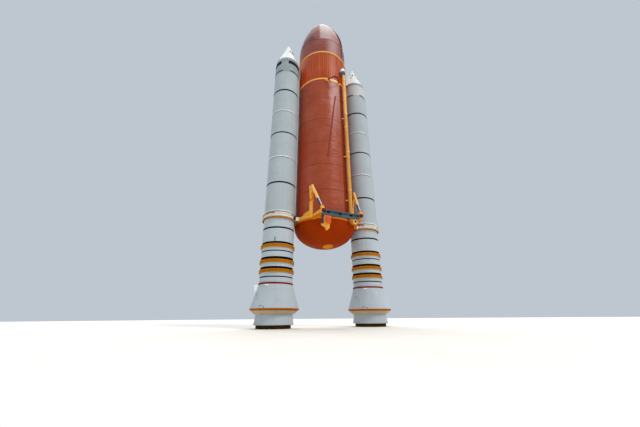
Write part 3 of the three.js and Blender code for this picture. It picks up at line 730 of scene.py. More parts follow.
# %% Ribbed wall
RIB_COUNT = 84
SKIN = [
    # radius, height: narrower inside the two flange rings
    (4.10, LOWER_FLANGE - FLANGE_HALF), (4.10, LOWER_FLANGE + FLANGE_HALF),
    (4.18, LOWER_FLANGE + FLANGE_HALF), (4.18, UPPER_FLANGE - FLANGE_HALF),
    (4.10, UPPER_FLANGE - FLANGE_HALF), (4.10, UPPER_FLANGE + FLANGE_HALF),
]
done(drum(SKIN, ROUND), "intertank_skin", ORANGE, "intertank_foam", "intertank")

RIB = [
    # left or right of the rib's middle, and back from the tank's axis
    (-0.094, -4.17), (-0.063, -4.24), (0.063, -4.24), (0.094, -4.17),
]
RIB_LOW, RIB_TALL = LOWER_FLANGE + FLANGE_HALF + 0.01, 5.92
rib = slab([spot(x, y, RIB_LOW) for x, y in RIB], Vector((0, 0, RIB_TALL * HALF)))
bevel(rib, 0.012, 2, 20)
done(ring_of(rib, RIB_COUNT), "intertank_ribs", ORANGE, "intertank_foam", smooth=40)
print("intertank ribs:", RIB_COUNT)

# %% Flange rings with their bolts
def flange_ring(z):
    half = FLANGE_HALF - RIM
    return bevel(belt(4.10 + RIM, 4.289, z - half, z + half, ROUND), 0.03, 3, 40)


def bolt_circle(radius, low, high, head, count, axis=TANK):
    """A ring of six-sided bolt heads, modelled once."""
    centre = spot(0, -radius, 0, axis)
    bolt = drum([(head, low), (head, high - head * 0.3), (head * 0.8, high)], 6, centre)
    return ring_of(bolt, count, axis)


BOLTS_OUT, BOLT_FOOT, BOLT_TOP, BOLT_HEAD, BOLTS = 4.245, 0.12, 0.155, 0.022, 120
for name, z in (("upper", UPPER_FLANGE), ("lower", LOWER_FLANGE)):
    bolts = join(bolt_circle(BOLTS_OUT, z + BOLT_FOOT, z + BOLT_TOP, BOLT_HEAD, BOLTS),
                 bolt_circle(BOLTS_OUT, z - BOLT_TOP, z - BOLT_FOOT, BOLT_HEAD, BOLTS))
    done(flange_ring(z), f"flange_ring_{name}_band", PIPE_YELLOW, "yellow_paint",
         f"flange_ring_{name}")
    done(bolts, f"flange_bolts_{name}", OCHRE, "yellow_paint")

# %% A painted shadow and a patch of other paint
# Painted shadow of the feed line on the intertank, a thin strip beside it
pipe_shadow = belt(4.24, 4.25, 37.0, 39.2, 4, TANK, 17.6, 7.0)
done(pipe_shadow, "intertank_painted_pipe_shadow", PIPE_SHADOW_ORANGE, "intertank_foam")
patch = belt(4.19, 4.32, 36.36, 36.86, 8, TANK, -7, 16)
done(bevel(patch, 0.01, 2), "flange_ring_lower_patch", PEACH, "yellow_paint")

# %% [markdown]
# ## Hydrogen tank
# The long barrel is a plain drum, so all its life comes from its foam, with its painted
# highlight and shade, and from the faint weld bands. The feed line's painted shadow beside it
# and a slanting streak, a painted reflection of the feed line, are thin shapes laid on the
# wall. The dome below it is half an ellipse, spun like the ogive.

# %% Barrel with its bands, painted shadow and painted reflection
BARREL_BOTTOM, FRAME_BOTTOM, DOME_BOTTOM = 12.92, 12.76, 9.90
BARREL_TOP = LOWER_FLANGE - FLANGE_HALF - RIM
barrel = [(TANK_RADIUS, z) for z in heights(BARREL_BOTTOM, BARREL_TOP, 12)]
done(drum(barrel, ROUND), "hydrogen_tank_barrel", RUST, "tank_foam", "hydrogen_tank")

BARREL_SEAMS = [
    # height, half its width, how far it stands out
    (32.80, 0.030, 0.006), (28.64, 0.045, 0.010), (24.58, 0.030, 0.006),
    (20.82, 0.045, 0.010), (16.88, 0.040, 0.008),
]
seams = join(*[seam(z, tall, proud) for z, tall, proud in BARREL_SEAMS])
done(seams, "hydrogen_tank_seams", RUST_LINE, "tank_foam")

# Painted shadow of the feed line, a thin strip on the wall beside it
strip = belt(4.19, 4.206, 13.4, 36.5, 6, TANK, 16.5, 9.0)
done(strip, "hydrogen_tank_painted_shadow", RUST_SHADE, "tank_foam")
# A slanting dark streak: the painted reflection of the feed line
STREAK = [
    # azimuth, height
    (5.0, 33.5), (-0.5, 30.9), (-3.6, 28.9), (-8.9, 25.9), (-11.4, 24.4), (-14.8, 22.0),
]
streak = pipe([on_wall(azimuth, 4.17, z) for azimuth, z in STREAK], 0.12)
done(streak, "hydrogen_tank_painted_reflection", REFLECTION_RUST, "tank_foam")

# %% Aft frame and dome
aft = drum([(4.26, FRAME_BOTTOM), (4.26, BARREL_BOTTOM - RIM)], ROUND)
done(bevel(aft, 0.03, 2), "aft_frame_band", DEEP_YELLOW, "yellow_paint", "aft_frame")

DOME_TOP, DOME_DEEP = FRAME_BOTTOM - RIM, FRAME_BOTTOM - DOME_BOTTOM
dome = [(TANK_RADIUS * math.sin(a), DOME_TOP - DOME_DEEP * math.cos(a))
        for a in heights(0, math.pi / 2, 22)]
dome_shell = lathe([*dome, (0, DOME_TOP)], ROUND)
done(dome_shell, "aft_dome_shell", DOME, "tank_foam", "aft_dome")


def dome_at(radius, out):
    """A row on the dome's outside, at a radius."""
    side = math.sqrt(1 - (radius / TANK_RADIUS) ** 2)
    return radius, FRAME_BOTTOM - DOME_DEEP * side - out


DOME_SEAM = [
    # radius, how far out from the dome
    (1.58, -0.02), (1.58, 0.005), (1.62, 0.005), (1.62, -0.02),
]
dome_seam = hoop([dome_at(radius, out) for radius, out in DOME_SEAM], ROUND)
done(dome_seam, "aft_dome_seam", RUST_LINE, "tank_foam")

# %% Dome cover
COVER_AT, COVER_LEAN, COVER_RADIUS = spot(0.12, -0.84, 9.96), math.radians(8), 0.72 - RIM
lean = Matrix.Rotation(COVER_LEAN, 4, "Z") @ Matrix.Rotation(-COVER_LEAN, 4, "X")
lean = Matrix.Translation(COVER_AT) @ lean
COVER_ROWS = [(0.60, -0.06), (0.70, -0.045), (COVER_RADIUS, -0.02), (COVER_RADIUS, 0.29)]
cover = drum(COVER_ROWS, 48, ORIGIN)
cover_bolts = bolt_circle(0.64, -0.059, -0.02, BOLT_HEAD, 28, ORIGIN)
done(move(bevel(cover, 0.012, 2), lean), "dome_cover_plate", COVER_AMBER, "yellow_paint",
     "dome_cover")
done(move(cover_bolts, lean), "dome_cover_bolts", OCHRE, "yellow_paint")
print("hydrogen tank from", DOME_BOTTOM, "to", LOWER_FLANGE)

# %% [markdown]
# ## Boosters
# Most pieces are alike on both boosters, so each of them is made on the left one and copied
# across. The black band, the small marks, the holes in the cones and the white of the forward
# skirts differ; the right skirt's lighter white is painted light. The cases are drums, with a
# raised ring at each field joint and thin painted bands between.

# %% Case segments
CASE, CASE_TOP = 1.97, 38.14
SEGMENTS = [
    # name, bottom, top
    ("segment_aft", 4.92, 13.76), ("segment_aft_centre", 13.76, 21.88),
    ("segment_forward_centre", 21.88, 30.01), ("segment_forward", 30.01, CASE_TOP),
]
CASE_ROUND = 96


def band(z, tall, proud, axis=BOOSTER, radius=CASE, start=0, sweep=360):
    """A raised or painted ring around a booster's case."""
    low, high = z - tall / 2, z + tall / 2
    return belt(radius - 0.05, radius + proud, low, high, CASE_ROUND, axis, start, sweep)


# The aft segment gets the lighter tail white, which is painted light
for name, low, high in SEGMENTS:
    case = drum([(CASE, z) for z in heights(low, high - RIM, 4)], CASE_ROUND, BOOSTER)
    both_boosters(case, f"{name}_case", LIT_TAIL_WHITE if name == "segment_aft" else WHITE, name)

# %% Rings and bands on the cases
FIELD_JOINTS = (13.76, 21.88, 30.01)
joint_rings = [bevel(band(z, 0.16, 0.03), 0.02, 2) for z in FIELD_JOINTS]
both_boosters(join(*joint_rings), "field_joints", BAND)
both_boosters(band(38.12, 0.14, 0.012), "forward_joint", GREY)
both_boosters(band(38.31, 0.20, 0.014, start=-2, sweep=326), "forward_joint_line", BLACK)
joint_lines = [band(z - 0.13, 0.07, 0.004) for z in FIELD_JOINTS]
both_boosters(join(*joint_lines), "field_joint_lines", LINE_GREY)

PAINTED_BANDS = [
    # height, width
    (34.08, 0.27), (25.95, 0.20), (17.82, 0.22), (11.50, 0.20), (9.61, 0.24), (8.60, 0.13),
    (7.75, 0.28), (6.60, 0.26), (5.56, 0.13),
]
painted = join(*[band(z, wide, 0.006) for z, wide in PAINTED_BANDS])
both_boosters(painted, "painted_bands", BLACK)

# %% Forward skirt and nose cone
CONE_BOTTOM, CONE_TOP = 40.65, 46.52
skirt_rows = [(CASE, z) for z in heights(CASE_TOP, CONE_BOTTOM - RIM, 2)]
forward_skirt = drum(skirt_rows, CASE_ROUND, BOOSTER)
other_skirt = move(copy(forward_skirt), Matrix.Translation(TO_THE_RIGHT))
done(forward_skirt, "left_forward_skirt_case", SKIRT_WHITE, "booster_white", "left_forward_skirt")
# The right forward skirt is a lighter white, which is painted light
done(other_skirt, "right_forward_skirt_case", LIT_WHITE, "booster_white", "right_forward_skirt")

CONE = [
    # radius, height: the base ring, the cone and the rounded tip
    (1.93, CONE_BOTTOM), (1.93, 41.18), (1.91, 41.24), (1.32, 42.93), (0.72, 44.60),
    (0.53, 45.23), (0.36, 45.80), (0.27, 46.09), (0.18, 46.32), (0.09, 46.47),
]
cone = lathe([(0, CONE_BOTTOM), *CONE, (0, CONE_TOP)], CASE_ROUND, BOOSTER)
both_boosters(cone, "nose_cone_shell", CONE_WHITE, "nose_cone")

# %% Holes and collar of the nose cones
def cone_radius(z):
    """The cone's radius at a height, between the rows of its profile."""
    for (wide, low), (narrow, high) in zip(CONE, CONE[1:]):
        if low <= z <= high:
            return wide + (narrow - wide) * (z - low) / (high - low)


RIGHT_BOOSTER = BOOSTER + TO_THE_RIGHT
CONE_HOLES = [
    # booster, azimuth, height, radius
    (BOOSTER, 5.0, 44.10, 0.16), (BOOSTER, 27.0, 44.00, 0.17), (BOOSTER, 33.0, 43.72, 0.17),
    (RIGHT_BOOSTER, -29.0, 44.50, 0.17), (RIGHT_BOOSTER, 24.0, 44.85, 0.14),
    (RIGHT_BOOSTER, -49.0, 43.60, 0.11), (RIGHT_BOOSTER, 24.0, 43.60, 0.10),
]
# The cone holes are near-black studs: painted shade where the holes are
holes = [stud(azimuth, cone_radius(z), z, size, axis, 0.035)
         for axis, azimuth, z, size in CONE_HOLES]
done(join(*holes), "nose_cone_holes", HOLE_SHADE, "booster_white")
collar = bevel(band(40.97, 0.60, 0.008, radius=1.93), 0.01, 1)
both_boosters(collar, "cone_collar", GREY)

# %% Black band on the left booster, with its gap
GAP_START, GAP_WIDE, DASHES = -46, 35, 5
black = band(40.25, 0.72, 0.008, start=GAP_START + GAP_WIDE, sweep=360 - GAP_WIDE)
dash = GAP_WIDE / (2 * DASHES + 1)
line = [band(40.56, 0.09, 0.008, start=GAP_START + dash * (2 * i + 1), sweep=dash)
        for i in range(DASHES)]
done(join(black, *line), "left_black_band", NAVY, "booster_white")

# %% Small marks on the left booster's case
MARKS = [
    # azimuth, height, radius of each grey button
    (-27.1, 35.56, 0.10), (-29.1, 24.95, 0.075), (-30.5, 19.22, 0.075),
]
marks = join(*[stud(azimuth, CASE, z, size, BOOSTER, 0.012) for azimuth, z, size in MARKS])
done(marks, "left_case_marks", GREY, "booster_white")
upright_mark = block((-0.045, -1.985, 9.75), (0.045, -1.90, 10.25), BOOSTER)
done(turn(upright_mark, -25.7, BOOSTER), "left_upright_mark", LINE_GREY, "booster_white")
done(stud(4.4, CASE, 38.90, 0.09, BOOSTER, 0.02), "left_pale_mark", CONE_WHITE, "booster_white")
print("booster pieces so far:", sum("left_" in name for name in triangles))

# %% [markdown]
# ## Booster tails
# Three amber stiffener rings, the ring that carries the aft struts, the dark red kick ring,
# and the flared skirt with its orange band sit on each booster's aft end. Each ring is spun
# from its own section, and the gussets of the attach ring are one plate in an array.

# %% Stiffener rings
STIFFENERS = [(6.07, 6.44), (7.19, 7.58), (9.05, 9.44)]
rings = []
for low, high in STIFFENERS:
    ring = hoop([(1.92, low), (2.11, low), (2.12, low + 0.05), (2.12, low + 0.11), (2.04, low + 0.15),
                 (2.04, high - 0.15), (2.12, high - 0.11), (2.12, high - 0.05), (2.11, high),
                 (1.92, high)], CASE_ROUND, BOOSTER)
    rings.append(bevel(ring, 0.012, 2))
both_boosters(join(*rings), "stiffener_rings", AMBER)

# %% Attach ring
LOW, HIGH, THICK = 12.74, 13.46, 0.12
RING_INNER, RING_OUTER = CASE + RIM, 2.19
GUSSET = [
    # radius, height
    (2.07, LOW + THICK), (2.175, LOW + THICK), (2.175, LOW + 0.2), (2.11, LOW + 0.28),
    (2.11, HIGH - 0.28), (2.175, HIGH - 0.2), (2.175, HIGH - THICK), (2.07, HIGH - THICK),
]
web = belt(RING_INNER, 2.09, LOW, HIGH, CASE_ROUND, BOOSTER)
gusset = slab([spot(0, -radius, z, BOOSTER) for radius, z in GUSSET], Vector((0.025 * HALF, 0, 0)))
web = join(web, ring_of(gusset, 40, BOOSTER))
both_boosters(web, "attach_ring_web", BAND, "attach_ring")
flanges = [bevel(belt(RING_INNER, RING_OUTER, z, z + THICK, CASE_ROUND, BOOSTER), 0.02, 2)
           for z in (LOW, HIGH - THICK)]
both_boosters(join(*flanges), "attach_ring_flanges", AMBER)
painted = belt(2.08, 2.13, LOW + 0.10, LOW + 0.24, CASE_ROUND, BOOSTER)
both_boosters(painted, "attach_ring_painted_edge", AMBER)
# A cream arc on the front of the upper flange
pale_arc = belt(2.1, 2.196, HIGH - THICK - 0.004, HIGH + 0.004, 16, BOOSTER, -30, 60)
both_boosters(pale_arc, "attach_ring_pale_edge", CREAM)

# %% Aft skirt
kick = bevel(belt(1.92, 2.07, 4.74, 4.92 - RIM, CASE_ROUND, BOOSTER), 0.02, 2)
both_boosters(kick, "kick_ring", KICK_RED)
SKIRT_LOW, SKIRT_HIGH, SKIRT_FOOT, SKIRT_TOP = 2.12, 4.78, 2.83, 2.02
skirt_cone = drum([(SKIRT_FOOT, SKIRT_LOW), (SKIRT_TOP, SKIRT_HIGH)], CASE_ROUND, BOOSTER)
# The skirt cone wears the lighter tail white, which is painted light
both_boosters(skirt_cone, "aft_skirt_cone", LIT_TAIL_WHITE, "aft_skirt")
underside = drum([(2.26, 1.50), (2.40, 1.62), (2.53, 1.73), (2.66, 1.86), (2.66, 2.0)],
                 CASE_ROUND, BOOSTER)
both_boosters(underside, "skirt_underside", UNDERSIDE)
skirt_band = hoop([(2.5, 1.88), (2.69, 1.88), (2.865, 2.03), (2.865, 2.09), (2.81, 2.14),
                   (2.5, 2.14)], CASE_ROUND, BOOSTER)
both_boosters(bevel(skirt_band, 0.015, 2), "skirt_band", BAND_ORANGE)

# %% Plates and knobs on the aft skirt
SKIRT_SLOPE = (SKIRT_FOOT - SKIRT_TOP) / (SKIRT_HIGH - SKIRT_LOW)


def skirt_radius(z):
    return SKIRT_FOOT - SKIRT_SLOPE * (z - SKIRT_LOW)


def skirt_plate(azimuth, z, wide, tall, proud=0.012):
    """A thin blank plate that follows the skirt's slope. Its width is in degrees."""
    low, high = z - tall / 2, z + tall / 2
    rows = [(skirt_radius(low) - 0.03, low), (skirt_radius(low) + proud, low),
            (skirt_radius(high) + proud, high), (skirt_radius(high) - 0.03, high)]
    return hoop(rows, 6, BOOSTER, azimuth - wide / 2, wide)


plates = [skirt_plate(-74, 3.57, 7, 0.26), skirt_plate(-63, 3.18, 6, 0.10)]
buttons = [stud(azimuth, skirt_radius(2.36), 2.36, 0.09, BOOSTER, 0.03) for azimuth in (-50, -45.5)]
both_boosters(join(*plates, *buttons), "skirt_plates", GREY)
both_boosters(skirt_plate(-39, 2.22, 1.2, 0.2), "skirt_slit", LINE_GREY)
knobs = join(stud(-46.5, 2.07, 4.62, 0.10, BOOSTER, 0.09),
             stud(-39.0, 2.07, 4.61, 0.10, BOOSTER, 0.09))
both_boosters(knobs, "skirt_knobs", GLOSS)

# %% Nozzle and foot
NOZZLE_LOW, NOZZLE_HIGH, FOOT_RADIUS, FOOT_SIDES = 0.40, 1.50, 2.05, 8
nozzle = drum([(2.28, NOZZLE_LOW), (2.30, 0.43), (2.30, 0.50), (2.25, 0.54), (2.18, 1.02),
               (2.10, NOZZLE_HIGH - RIM)], CASE_ROUND, BOOSTER)
# The nozzle wears the lighter tail white, which is painted light
both_boosters(nozzle, "nozzle_shell", LIT_TAIL_WHITE, "nozzle")
foot = drum([(FOOT_RADIUS, 0), (FOOT_RADIUS, NOZZLE_LOW - RIM)], FOOT_SIDES, BOOSTER)
both_boosters(bevel(foot, 0.02, 2), "plinth_block", FOOT, "plinth", slot="plinth_dark")
print("tails done, pieces:", len(triangles))

# %% [markdown]
# ## Tunnel and motor fairing
# A flat box up the side of each case covers its cables, and a white fairing on the outer
# side of each skirt covers the small motors that push the booster away. The box could be
# spun as a short arc, but a rounded block has its straight sides. The fairing is angular,
# so its solid is taken over and only its edges are rounded.

# %% Systems tunnel
TUNNEL_AT = 70
tunnel = bevel(block((-0.13, -2.11, 13.60), (0.13, -1.90, 38.90), BOOSTER), 0.05, 3)
both_boosters(turn(tunnel, TUNNEL_AT, BOOSTER), "systems_tunnel_cover", WHITE, "systems_tunnel")

# %% Separation motor fairing
motors = bevel(dress("left_separation_motors"), 0.08, 4)
both_boosters(motors, "separation_motor_fairing", GLOSS, "separation_motors", mirrored=True)

# %% [markdown]
# ## Feed line
# The yellow feed line runs down the tank from a fairing on the intertank to an elbow by the
# crossbeam. A straight pipe is quickest as a spun profile. Its couplings and clamps are
# spun as rings of their own, so that they keep their colours and rounded edges. White arcs
# just above the couplings are painted glints.

# %% Feed line and its couplings
FEED_AT, FEED_OUT, FEED = 25.5, 4.65, 0.24
FEED_BOTTOM, PIPE_CHANGE, FEED_TOP = 13.20, 30.28, 38.65
COUPLINGS = (23.30, PIPE_CHANGE, 37.40)
feed_axis = on_wall(FEED_AT, FEED_OUT, 0)
lower_pipe = drum([(FEED, FEED_BOTTOM), (FEED, PIPE_CHANGE)], 32, feed_axis)
done(lower_pipe, "feed_line_pipe", PIPE_LOW, "yellow_paint", "feed_line")
upper_pipe = drum([(FEED, PIPE_CHANGE + RIM), (FEED, FEED_TOP)], 32, feed_axis)
done(upper_pipe, "feed_line_pipe_upper", PIPE_YELLOW, "yellow_paint")
couplings = [bevel(belt(FEED - 0.02, FEED + 0.03, z - 0.07, z + 0.07, 32, feed_axis), 0.008, 1)
             for z in COUPLINGS]
done(join(*couplings), "feed_line_couplings", PIPE_LOW, "yellow_paint")
# Painted glints: white arcs just above the couplings, on the pipe's front
GLINT_OUT = FEED + 0.045
glints = [hoop([(FEED, z + 0.07), (GLINT_OUT, z + 0.07), (GLINT_OUT, z + 0.18), (FEED, z + 0.20)],
              12, feed_axis, -22, 62) for z in COUPLINGS]
done(join(*glints), "feed_line_painted_glints", CONE_WHITE, "yellow_paint")

# %% Hooks and lugs of the feed line
HOOKS, WALL = (15.70, 22.65, 29.60), 4.19
hooks = [rod(on_wall(FEED_AT - 5, WALL, z), on_wall(FEED_AT - 1, FEED_OUT - 0.1, z),
             [(0.10, 0), (0.08, 0.2), (0.08, 1)], 16) for z in HOOKS]
lugs = [rod(feed_axis + Vector((0, 0, z * HALF)), on_wall(FEED_AT + 3.3, FEED_OUT + 0.13, z),
            [(0.05, 0), (0.05, 1)], 12) for z in heights(14.6, 35.6, 13)]
done(join(*hooks, *lugs), "feed_line_hooks", YELLOW, "yellow_paint")

# %% Brackets and clamps of the feed line
BRACKETS = (17.2, 22.6, 27.9, 33.2)
CLAMP = [
    # radius, height from the clamp's middle
    (FEED - 0.02, -0.10), (0.29, -0.10), (0.29, -0.04), (0.265, -0.03),
    (0.265, 0.03), (0.29, 0.04), (0.29, 0.10), (FEED - 0.02, 0.10),
]
clamps, legs = [], []
for z in BRACKETS:
    clamp = hoop([(radius, z + up) for radius, up in CLAMP], 32, feed_axis)
    clamps.append(bevel(clamp, 0.008, 1))
    legs.append(rod(on_wall(FEED_AT, WALL, z), on_wall(FEED_AT, FEED_OUT - 0.1, z),
                    [(0.14, 0), (0.14, 0.12), (0.09, 0.22), (0.09, 1)], 20))
done(join(*clamps), "feed_line_clamps", PIPE_YELLOW, "yellow_paint")
# The legs wear the same dark rust as the feed line's painted shadow, so they vanish in it
done(join(*legs), "feed_line_brackets", RUST_SHADE, "tank_foam")

# %% Fairing at the top of the feed line
FAIRING_AT, SADDLE_Z = 23.4, 39.27
fairing_axis = on_wall(FAIRING_AT, FEED_OUT, 0)
body = drum([(0.39, FEED_TOP + RIM), (0.41, 38.68), (0.43, 39.12), (0.41, 39.15)],
            40, fairing_axis)
saddle = rod(on_wall(FAIRING_AT, 4.15, SADDLE_Z), on_wall(FAIRING_AT, FEED_OUT, SADDLE_Z),
             [(0.24, 0), (0.24, 1)], 32)
done(join(body, saddle), "feed_line_fairing_body", SLATE, "slate_paint", "feed_line_fairing")
crown = drum([(0.41, 39.15), (0.428, 39.17), (0.425, 39.34), (0.39, 39.60), (0.34, 39.78),
              (0.26, 39.92), (0.17, 40.02), (0.08, 40.06)], 40, fairing_axis)
done(crown, "feed_line_fairing_cap", GLOSS, "slate_paint")

# %% Elbow
def arc(points, steps=16):
    """A smooth line: its inner points pull it like the handles of a curve."""
    out = []
    for i in range(steps + 1):
        t = i / steps
        layer = list(points)
        while len(layer) > 1:
            layer = [a.lerp(b, t) for a, b in zip(layer, layer[1:])]
        out.append(layer[0])
    return out


foot_x, foot_y = (feed_axis - TANK).x / HALF, (feed_axis - TANK).y / HALF


def from_feed(x, y, z):
    """A real place, measured from the bottom of the feed line."""
    return spot(foot_x + x, foot_y + y, FEED_BOTTOM + z)


mouth = from_feed(0.10, -0.75, -0.77)
bend = arc([from_feed(0, 0, -0.16), from_feed(0, 0.02, -0.83), from_feed(0.05, -0.32, -0.78),
            mouth])
ELBOW = 0.27
elbow = pipe([from_feed(0, 0, 0), *bend], ELBOW, 6)
rims = [hoop([(0.22, z - 0.02), (0.29, z - 0.018), (0.29, z + 0.018), (0.22, z + 0.02)],
             32, feed_axis) for z in (13.13, 13.07)]
done(join(elbow, *rims), "feed_line_elbow_pipe", DEEP_YELLOW, "yellow_paint", "feed_line_elbow")

# %% Flange disc and opening of the elbow
AHEAD = Vector((0, -1, 0))


def facing(rows):
    """A disc on the elbow's mouth, from rows of radius and distance to the front."""
    aim = AHEAD.to_track_quat("Z", "Y").to_matrix().to_4x4()
    return move(lathe(rows, 40, ORIGIN), Matrix.Translation(mouth) @ aim)


disc = facing([(0, -0.05), (0.36, -0.05), (0.36, 0.05), (0.34, 0.06), (0.15, 0.06), (0.13, 0.045),
               (0.13, 0.03), (0, 0.03)])
done(disc, "feed_line_flange_disc", PALE_YELLOW, "yellow_paint")
# The elbow's opening is a thin near-black disc: painted shade inside the pipe
hole = facing([(0, 0.031), (0.129, 0.031), (0.129, 0.04), (0, 0.04)])
done(hole, "feed_line_opening", HOLE_SHADE, "yellow_paint")

# %% [markdown]
# ## Cable tray, pressure line and knotted cable
# A flat tray and a thin line run up the right side of the tank, and a short knotted cable
# lies below the line. The line follows the ogive, so its route comes from the same formula
# and gets its thickness like a pipe. The knots are rows of one lathed bar.

# %% Cable tray
TRAY_AT, TRAY_STRAPS = 32, 27
tray = bevel(block((-0.09, -4.30, 13.30), (0.09, -4.15, 41.90)), 0.02, 2)
straps = [block((-0.10, -4.305, z - 0.03), (0.10, -4.15, z + 0.03))
          for z in heights(14.2, 41.2, TRAY_STRAPS)]
straps = bevel(join(*straps), 0.008, 1)
done(turn(tray, TRAY_AT), "cable_tray_cover", RUST, "tank_foam", "cable_tray")
done(turn(straps, TRAY_AT), "cable_tray_straps", RUST_DARK, "tank_foam")

# %% Pressure line on the ogive
LINE_AT, LINE_CHANGE = 34, 46.7


def along_ogive(low, high, steps):
    """Places on a line that stands just off the ogive."""
    return [on_wall(LINE_AT, ogive_radius(z) + 0.11, z) for z in heights(low, high, steps)]


lower_line = pipe(along_ogive(43.30, LINE_CHANGE, 9), 0.085)
done(lower_line, "pressure_line_lower", TEAL, "slate_paint", "pressure_line")
upper_line = pipe(along_ogive(LINE_CHANGE, 53.70, 17), 0.08)
done(upper_line, "pressure_line_upper", RUST_TOP, "slate_paint")


def clips_between(low, high, steps):
    clips = []
    for z in heights(low, high, steps):
        inner, outer = ogive_radius(z) - 0.05, ogive_radius(z) + 0.2
        clips.append(block((-0.12, -outer, z - 0.06), (0.12, -inner, z + 0.06)))
    return turn(bevel(join(*clips), 0.02, 1), LINE_AT)


done(clips_between(43.7, 46.2, 3), "pressure_line_clips", GREY, "slate_paint")
done(clips_between(46.9, 50.5, 7), "pressure_line_dark_clips", LINE_GREY, "slate_paint")

# %% Knotted cable below the pressure line
CHAIN_LOW, CHAIN_HIGH, KNOTS = 39.6, 42.7, 7
CHAIN_OUT = 4.30
KNOT = [
    # radius, share of the knot's length
    (0.035, 0.0), (0.075, 0.3), (0.075, 0.7), (0.035, 1.0),
]
rows = [(radius, (i + share) / KNOTS) for i in range(KNOTS) for radius, share in KNOT]
chain_ends = [on_wall(LINE_AT, CHAIN_OUT, z) for z in (CHAIN_LOW, CHAIN_HIGH)]
chain = rod(*chain_ends, rows, 16)
done(chain, "knotted_cable", OCHRE, "yellow_paint")

# %% [markdown]
# ## Bipod
# The maroon bipod reaches forward from two yellow feet on the lower flange to a short yoke.
# Struts like these are turned bars with thicker ends, so each is a spun profile laid between
# two points.

# %% Ball around a place
SIDES = ((-1, "left"), (1, "right"))


def globe(at, radius, steps=12, sides=24):
    """A ball around a model point."""
    rows = [(radius * math.sin(a), -radius * math.cos(a)) for a in heights(0, math.pi, steps)]
    return move(lathe(rows, sides, ORIGIN), Matrix.Translation(at))


# %% Bipod struts, yoke and feet
BIPOD_Z, BIPOD_AT, BIPOD_OUT = 36.28, 11.8, 4.56
YOKE_Y, YOKE_X, YOKE_END = -5.30, 0.27, 0.35
YOKE = [(0.09, 0), (0.11, 0.03), (0.11, 0.97), (0.09, 1)]
BIPOD_STRUT = [
    # radius, share of the way
    (0.10, 0), (0.10, 0.10), (0.072, 0.16), (0.085, 0.30), (0.085, 0.75), (0.072, 0.84),
    (0.10, 0.88), (0.10, 1),
]
frame_parts = [rod(spot(-YOKE_END, YOKE_Y, BIPOD_Z), spot(YOKE_END, YOKE_Y, BIPOD_Z), YOKE)]
for side, name in SIDES:
    heel = on_wall(side * BIPOD_AT, BIPOD_OUT, BIPOD_Z)
    knee = spot(side * YOKE_X, YOKE_Y, BIPOD_Z)
    frame_parts += [rod(heel, knee, BIPOD_STRUT), globe(heel, 0.13), globe(knee, 0.14)]
    trimmed(f"bipod_foot_{name}", "block", YELLOW, "yellow_paint")
done(join(*frame_parts), "bipod_frame", MAROON, "maroon_paint", "bipod")

# %% [markdown]
# ## Aft attachment
# Two balls carry what the rocket lifts on its side. Each is held by a thick strut from a
# longeron and by an outrigger, and a slate-grey beam joins them. A pale top patch, a joint
# band, a painted shaded side and painted shade along the lower edges are thin plates laid on
# the longerons and outriggers. They could be more finishes on the beams' own faces, but a
# plate can end in the middle of a face.

# %% Painted patches of the longerons
LONGERON_AT, WEDGE_LOW, WEDGE_HIGH = 46.2, 15.20, 16.95
FACE_PATCHES = [
    # name, finish, bottom, top, left and right edge across the face of the left longeron
    ("shaded_side", SHADE_AND_BAND_ORANGE, 15.52, 17.00, 0.02, 0.243),
    ("joint_band", SHADE_AND_BAND_ORANGE, 15.28, 15.50, -0.243, 0.243),
    ("top_patch", PALE_YELLOW, 17.04, 17.33, -0.22, 0.22),
]


def on_longeron(along, out, z):
    """A place on the left longeron: along its face, out from the tank's axis, and up."""
    about = math.radians(-LONGERON_AT)
    sine, cosine = math.sin(about), math.cos(about)
    return spot(out * sine + along * cosine, along * sine - out * cosine, z)


def face_out(z):
    """How far the wedge's face stands from the tank's axis."""
    return 4.324 + 0.24 * min(1.0, (z - WEDGE_LOW) / (WEDGE_HIGH - WEDGE_LOW))


for what, finish, low, high, left, right in FACE_PATCHES:
    side_view = [on_longeron(left, out, z) for out, z in
                 ((4.25, low), (face_out(low), low), (face_out(high), high), (4.25, high))]
    patch = slab(side_view, on_longeron(right, 4, 0) - on_longeron(left, 4, 0))
    both_tank_sides(patch, f"longeron_{what}", finish)

# %% Painted shade on the lower edges of the fittings and outriggers
BALL = (2.60, -5.66, 13.01)
HEM = [
    # radius, height
    (4.3, 12.712), (4.568, 12.712), (4.568, 12.85), (4.55, 12.85), (4.55, 12.73), (4.3, 12.73),
]
# Painted shade: a darker orange strip along the lower edge of each aft fitting
both_tank_sides(hoop(HEM, 24, TANK, -70.5, 28.6), "aft_fitting_painted_shade", SHADE_AND_BAND_ORANGE)
# Painted shade: a darker orange slab along the lower edge of each outrigger
KEEL_LOW, KEEL_TALL, KEEL_HALF, KEEL_SHORT = 12.653, 0.17, 0.156, 0.30
root, tip = on_wall(-47, 4.24, KEEL_LOW), spot(-BALL[0], BALL[1], KEEL_LOW)
reach = (tip - root).normalized()
beside = reach.cross(Vector((0, 0, 1))) * KEEL_HALF * HALF
tip -= reach * KEEL_SHORT * HALF
outline = [root + beside, tip + beside, tip - beside, root - beside]
both_tank_sides(slab(outline, Vector((0, 0, KEEL_TALL * HALF))), "outrigger_painted_shade", SHADE_AND_BAND_ORANGE)

# %% Longerons, thrust struts, outriggers and balls
UPPER_STRUT = [(0.18, 0), (0.19, 0.03), (0.19, 0.93), (0.16, 1)]
